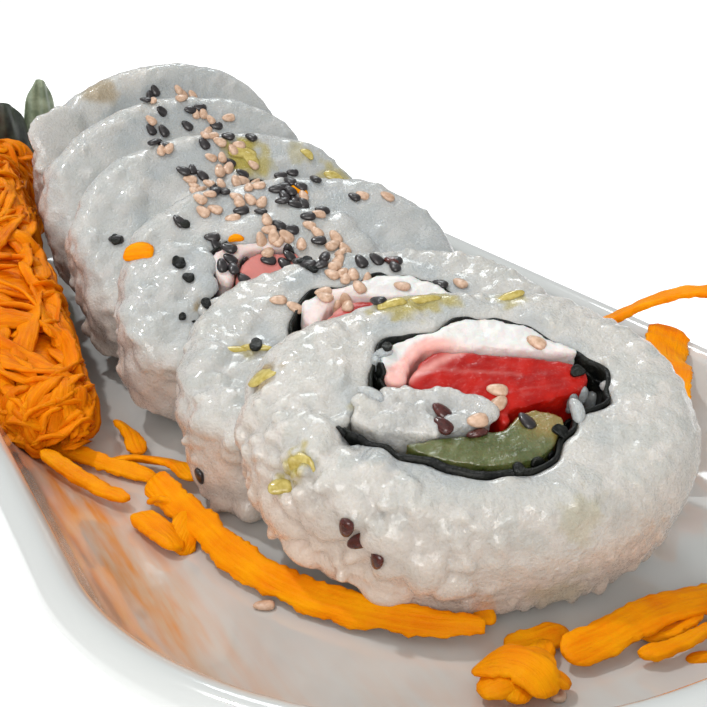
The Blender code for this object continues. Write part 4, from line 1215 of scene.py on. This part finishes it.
# %% One strip along a route
def strip(route, width, thick, twist=0.2, tilt=0.0, seed=0, step=0.5, sides=18, taper=2.2):
    """The points and faces of a flat ragged strip, and its own map of length and breadth.

    The last stretch of the strip, as long as taper, narrows and thins to its end.
    """
    path = smooth_path(route, step)
    count = len(path)
    ahead = np.gradient(path, axis=0)
    ahead /= np.linalg.norm(ahead, axis=1, keepdims=True)
    side = np.cross(ahead, (0, 0, 1.0))
    side /= np.maximum(np.linalg.norm(side, axis=1, keepdims=True), 1e-6)
    top = np.cross(side, ahead)
    share = np.arange(count) / (count - 1)
    roll = (tilt + twist * np.sin(share * 5 + seed))[:, None]
    side, top = side * np.cos(roll) + top * np.sin(roll), top * np.cos(roll) - side * np.sin(roll)
    length = np.arange(count) * step
    line = np.stack([length, np.full(count, seed * 3.7), np.zeros(count)], axis=-1)
    ends = np.clip(np.minimum(share / 2.2, (1 - share) / taper) * count * step, 0, 1) ** 0.5
    rows, maps = [], []
    for k in range(sides):
        angle = TAU * k / sides
        a = math.copysign(abs(math.cos(angle)) ** 0.7, math.cos(angle))
        b = math.copysign(abs(math.sin(angle)) ** 0.7, math.sin(angle))
        edge = 1 + 0.16 * waves(line + (0, 3 * round(a), 0), 4.0, seed)
        torn_edge = 0.34 * waves(line + (0, 3 * round(a), 5), 1.0, seed)
        torn_edge += 0.16 * waves(line, 0.5, seed + k % 2)
        half = (width / 2 * edge + torn_edge) * (0.35 + 0.65 * ends) * a
        lift = 1 + 0.3 * waves(line + (0, a * 3, b * 2), 2.0, seed + 3)
        lift += 0.16 * waves(line * (0.3, 1, 1) + (0, a * 9, b), 1.0, seed)
        up = thick / 2 * lift * (0.4 + 0.6 * ends) * b
        rows.append(path + side * half[:, None] + top * up[:, None])
        maps.append(np.stack([length, half + seed * 3.1, np.full(count, thick * b / 2)], axis=-1))
    rows = np.stack(rows, axis=1)
    points, faces = tube(list(rows))
    middles = [(0, seed * 3.1, 0), (length[-1], seed * 3.1, 0)]
    place = np.concatenate([np.stack(maps, axis=1).reshape(-1, 3), middles])
    return points, outward(points, faces), place


# %% The strips that lie apart: x, y and height over the dish
STRIPS = {
    "strip_long": dict(
        route=[(-37.6, -30, 2.4), (-36.8, -38, 2.2), (-35.6, -48, 2.0), (-34.2, -58, 1.9),
               (-31.2, -67.8, 1.7), (-26.2, -76.6, 1.6), (-19.4, -84.4, 1.9), (-11.6, -90.4, 2.0)],
        width=5.0, twist=0.1, tilt=-0.7, seed=1, taper=22.0),
    "strip_left": dict(
        route=[(-52.6, -17, 1.6), (-50.4, -21, 1.3), (-46.6, -27.5, 1.0), (-43.0, -33.6, 0.8)],
        width=3.2, twist=0.2, seed=2),
    "strip_short": dict(
        route=[(-43.0, -38, 0.4), (-41.8, -44, 1.0), (-40.6, -51, 0.4)], width=4.0, twist=0.3, seed=3),
    "strip_wide": dict(
        route=[(-5.6, -99.6, 1.4), (1, -99.2, 1.8), (8, -98.2, 2.0), (14, -97.6, 1.8),
               (21, -97.8, 1.2), (30, -98.4, 1.0)], width=5.2, twist=0.1, tilt=-0.3, seed=4),
    "strip_thin": dict(
        route=[(3.4, -103.2, 0.8), (8, -104.4, 1.0), (16, -103.2, 0.9), (24, -103.4, 0.4)],
        width=2.4, twist=0.2, seed=5),
    "strip_far": dict(
        route=[(35.5, -39, 14.0), (42.0, -38, 16.5), (49.0, -37.5, 16.5), (56.0, -39, 14.5),
               (62.0, -43, 8.6), (67.0, -48.5, 9.4)], width=4.4, twist=0.2, seed=6),
    "strip_fold": dict(
        route=[(37.0, -66, 9.0), (42.4, -62, 12.6), (48.4, -56, 13.6), (54.4, -48, 10.0),
               (60.4, -42.4, 2.4)], width=8.0, twist=0.4, seed=7),
}


def lifted(route, thick=1.5):
    """The route with its heights measured from the dish instead of the table."""
    return [(x, y, well_height(x, y) + z + thick / 2 + GAP) for x, y, z in route]


for node, shape in STRIPS.items():
    route = lifted(shape.pop("route"))
    points, faces, place = strip(route, thick=1.4, **shape)
    add_piece("carrot_" + node, points, faces, CARROT, [node], "carrot", place=place)


# %% Bits of carrot: spots in the picture with a height, then width, thickness, twist and tilt
BITS = [
    ([(4, 428, 2.0), (42, 450, 2.2), (84, 466, 2.0), (128, 478, 1.6), (158, 486, 1.2)], 3.0, 1.2, 0.2, -0.5),
    ([(62, 446, 2.0), (80, 438, 3.4), (98, 436, 3.0)], 3.4, 1.2, 0.2, -0.6),
    ([(152, 505, 1.2), (166, 512, 2.4), (182, 520, 2.6)], 4.2, 1.3, 0.3, 0.2),
    ([(176, 556, 0.8), (186, 544, 1.8), (196, 530, 2.6)], 5.4, 1.1, 0.3, -0.5),
    ([(110, 468, 1.4), (140, 470, 2.2), (176, 478, 2.6), (196, 492, 2.4)], 3.6, 1.3, 0.3, 0.3),
    ([(118, 432, 2.2), (132, 446, 2.2), (140, 462, 1.6)], 3.2, 1.2, 0.3, 0.3),
    ([(470, 612, 1.6), (482, 624, 2.2), (488, 640, 2.6)], 3.0, 1.3, 0.3, 0.1),
    ([(506, 660, 1.8), (530, 652, 1.6), (566, 640, 1.6)], 4.2, 1.4, 0.1, -0.3),
    ([(535, 678, 0.8), (540, 664, 1.4), (545, 652, 1.8)], 3.6, 1.2, 0.1, 0.0),
    ([(640, 632, 1.0), (652, 640, 1.0), (672, 638, 1.2), (700, 622, 1.6)], 3.0, 0.9, 0.2, 0.0)]
FIRST_BIT = 21


def seen_route(spots):
    """A route over the dish through (u, v, height) spots of the picture."""
    return [sight(u, v, PLATE)[0] + (0, 0, height) for u, v, height in spots]


points, faces, place = join([strip(seen_route(spots), *sizes, seed=FIRST_BIT + number)
                             for number, (spots, *sizes) in enumerate(BITS)])
add_piece("carrot_bits", points, faces, CARROT, slot="carrot", place=place)

# %% The torn tangle in front
clump = [strip(lifted(route), width, thick, 0.3, 0.0, seed) for route, width, thick, seed in (
    ([(-17.4, -96.6, 1.2), (-14.0, -99.4, 3.2), (-12.4, -102.6, 3.0), (-12.0, -105.6, 1.0)], 5.6, 1.2, 8),
    ([(-19.0, -100.6, 0.6), (-15.4, -100.8, 1.8), (-11.0, -99.6, 2.2), (-7.6, -98.6, 1.4)], 4.8, 1.3, 9),
    ([(-16.4, -103.6, 0.5), (-13.6, -101.6, 1.6), (-10.0, -102.8, 1.8), (-8.4, -104.6, 0.6)], 4.4, 1.3, 10),
    ([(-12.0, -98.4, 2.6), (-10.2, -100.2, 3.4), (-9.4, -102.4, 2.4)], 4.0, 1.1, 11))]
points, faces, place = join(clump)
add_piece("carrot_clump", points, faces, CARROT, ["clump"], "carrot", place=place)
print("loose strips:", len(STRIPS) + len(BITS) + len(clump))

# %% The heap beside the row: y, its left and right side, and its top over the well
HEAP = np.array([
    (-15, -54.6, -46.5, 7.0), (-10, -57.0, -42.6, 12.5), (-2, -58.5, -41.6, 15.0), (14, -59.5, -40.0, 19.0),
    (32, -59.0, -38.0, 24.0), (50, -58.0, -36.0, 27.0), (66, -56.5, -34.6, 31.0), (82, -54.0, -32.6, 33.5),
    (96, -49.0, -31.4, 34.5), (106, -41.5, -26.5, 35.5), (111.5, -34.5, -21.5, 33.0)])
HEAP_FOOT, SHREDS = 4.6, 240


def heap_point(share, angle, out=0.0):
    """A point on the heap: share of the way along it, angle round it, distance off its surface."""
    stations = np.arange(len(HEAP))
    y, left, right, top = (np.interp(share * stations[-1], stations, column) for column in HEAP.T)
    half_wide, half_high = (right - left) / 2, (top - HEAP_FOOT) / 2
    c, s = math.cos(angle), math.sin(angle)
    x = (left + right) / 2 + (half_wide + out) * math.copysign(abs(c) ** 0.8, c)
    z = WELL + HEAP_FOOT + half_high + (half_high + out) * math.copysign(abs(s) ** 0.8, s)
    return np.array((x, y, max(z, well_height(x, y) + 0.9)))


def build_heap():
    """A smooth core, and shreds that lie over it along its surface."""
    rows = [[heap_point(0.02 + 0.96 * i / 40, TAU * k / 28, -1.6) for k in range(28)] for i in range(41)]
    points, faces = tube(rows)
    core = (points, outward(points, faces), points)
    rng = random.Random(77)
    shreds = []
    for k in range(SHREDS):
        share, angle = rng.uniform(0.0, 0.97), math.radians(rng.uniform(-30, 225))
        slope, reach = rng.uniform(-1.2, 1.2), rng.uniform(0.05, 0.11)
        route = []
        for step in range(5):
            spot = min(0.995, max(0.0, share + reach * (step - 2) / 2 * math.cos(slope)))
            bend = angle + 1.3 * math.sin(slope) * (step - 2) / 2
            route.append(heap_point(spot, bend, rng.uniform(-1.0, 0.9)))
        shreds.append(strip(route, rng.uniform(2.4, 4.6), rng.uniform(0.8, 1.2), 0.5, rng.uniform(-0.6, 0.6),
                            seed=k, step=1.3, sides=8))
    points, faces, place = join([core] + shreds)
    return add_piece("carrot_heap_shreds", points, faces, DEEP_CARROT, ["carrot_heap"], "carrot", place=place)


heap = build_heap()
print("heap points:", len(heap.data.vertices))


# %% [markdown]
# ## Garnish leaves
# At the far left corner a dark leaf and a pale one stand behind the heap, seen only as soft
# shapes. Each is a thin wavy sheet with a ruffled upper edge and a rib.

# %% Leaves
def build_leaf(name, node, slot, foot, turn, width, height, finish):
    across, up, thick = 40, 34, 0.8
    c, s = math.cos(math.radians(turn)), math.sin(math.radians(turn))
    u, v = np.meshgrid(np.linspace(-1, 1, across), np.linspace(0, 1, up))
    u, v = u.ravel(), v.ravel()
    half = width / 2 * (0.62 + 0.5 * np.sin(math.pi * (0.1 + 0.5 * v)))
    wave = 0.4 * u * u + 1.3 * np.sin(3.1 * u + 5 * v) + 0.5 * np.sin(11 * u + 3) * v ** 2
    wave -= 0.5 * np.exp(-(u / 0.08) ** 2)
    rise = v * height * (1 - 0.38 * np.abs(u) ** 3) + 0.5 * np.sin(6 * u + 2) * v
    front, back = (np.stack([foot[0] + half * u * c - side * s, foot[1] + half * u * s + side * c,
                             foot[2] + rise], axis=-1) for side in (wave, wave + thick))
    points, faces = sheet(front, back, across)
    return add_piece(name, points, faces, finish, [node], slot)


build_leaf("garnish_dark", "leaf_dark", "leaf", (-29.8, 115.6, 21.2), 23, 18, 29, LEAF)
build_leaf("garnish_pale", "leaf_pale", "pale_leaf", (-17.6, 122.6, 21.6), 8, 9, 33, PALE_LEAF)
print("leaves: 2")

# %% [markdown]
# ## Floor, light and world
# A plain pale floor and large soft lamps, as in a studio by a window: the main light comes from
# behind and above on the right, with a gentle warm fill from the front left.

# %% Floor
floor_finish = Finish("floor", Roughness=0.6, Emission_Strength=0.5)
floor_finish.shader.inputs["Emission Color"].default_value = (1, 1, 1, 1)
grey = floor_finish.node("ShaderNodeTexNoise", {}, Scale=30.0)
floor_finish.feed("Base Color", floor_finish.mix(grey, (0.86, 0.86, 0.86), (0.88, 0.88, 0.88)))
floor_mesh = bpy.data.meshes.new("floor")
floor_mesh.from_pydata([(-4, -4, 0), (4, -4, 0), (4, 4, 0), (-4, 4, 0)], [], [[0, 1, 2, 3]])
floor_mesh.materials.append(floor_finish.material)
floor = bpy.data.objects.new("floor", floor_mesh)
bpy.context.scene.collection.objects.link(floor)


# %% Lights and world
def area_light(name, place, aim, size, power, colour):
    """A round lamp, in metres and watts, turned towards its aim."""
    data = bpy.data.lights.new(name, "AREA")
    data.shape, data.size, data.energy, data.color = "DISK", size, power, colour
    lamp = bpy.data.objects.new(name, data)
    lamp.location = place
    lamp.rotation_euler = (Vector(aim) - Vector(place)).to_track_quat("-Z", "Y").to_euler()
    bpy.context.scene.collection.objects.link(lamp)


area_light("window", (0.35, 0.75, 0.95), (0, 0, 0.02), 0.4, 3.2, (0.93, 0.99, 1.0))
sun_data = bpy.data.lights.new("sky", "SUN")
sun_data.energy, sun_data.angle, sun_data.color = 0.335, math.radians(70), (1.0, 1.0, 0.98)
sun = bpy.data.objects.new("sky", sun_data)
sun.rotation_euler = (math.radians(16), math.radians(-24), 0)
bpy.context.scene.collection.objects.link(sun)
area_light("warm_fill", (-0.45, -0.75, 0.36), (0, -0.07, 0.03), 0.5, 4.2, (1.0, 0.97, 0.94))
area_light("sparkle", (-0.3, 0.25, 0.9), (0, -0.06, 0.02), 0.05, 3.0, (1.0, 1.0, 1.0))
world = bpy.data.worlds.new("studio")
world.use_nodes = True
tree = world.node_tree
background = tree.nodes["Background"]
background.inputs["Color"].default_value = (1.0, 1.0, 1.0, 1)
# The camera sees a white backdrop, and the food gets less light from it
LIGHT_ON_FOOD, EXTRA_FOR_CAMERA = 0.44, 0.6
rays = tree.nodes.new("ShaderNodeLightPath")
strength = tree.nodes.new("ShaderNodeMath")
strength.operation = "MULTIPLY_ADD"
strength.inputs[1].default_value, strength.inputs[2].default_value = EXTRA_FOR_CAMERA, LIGHT_ON_FOOD
tree.links.new(rays.outputs["Is Camera Ray"], strength.inputs[0])
tree.links.new(strength.outputs[0], background.inputs["Strength"])
bpy.context.scene.world = world
bpy.context.scene.view_settings.view_transform = "Standard"
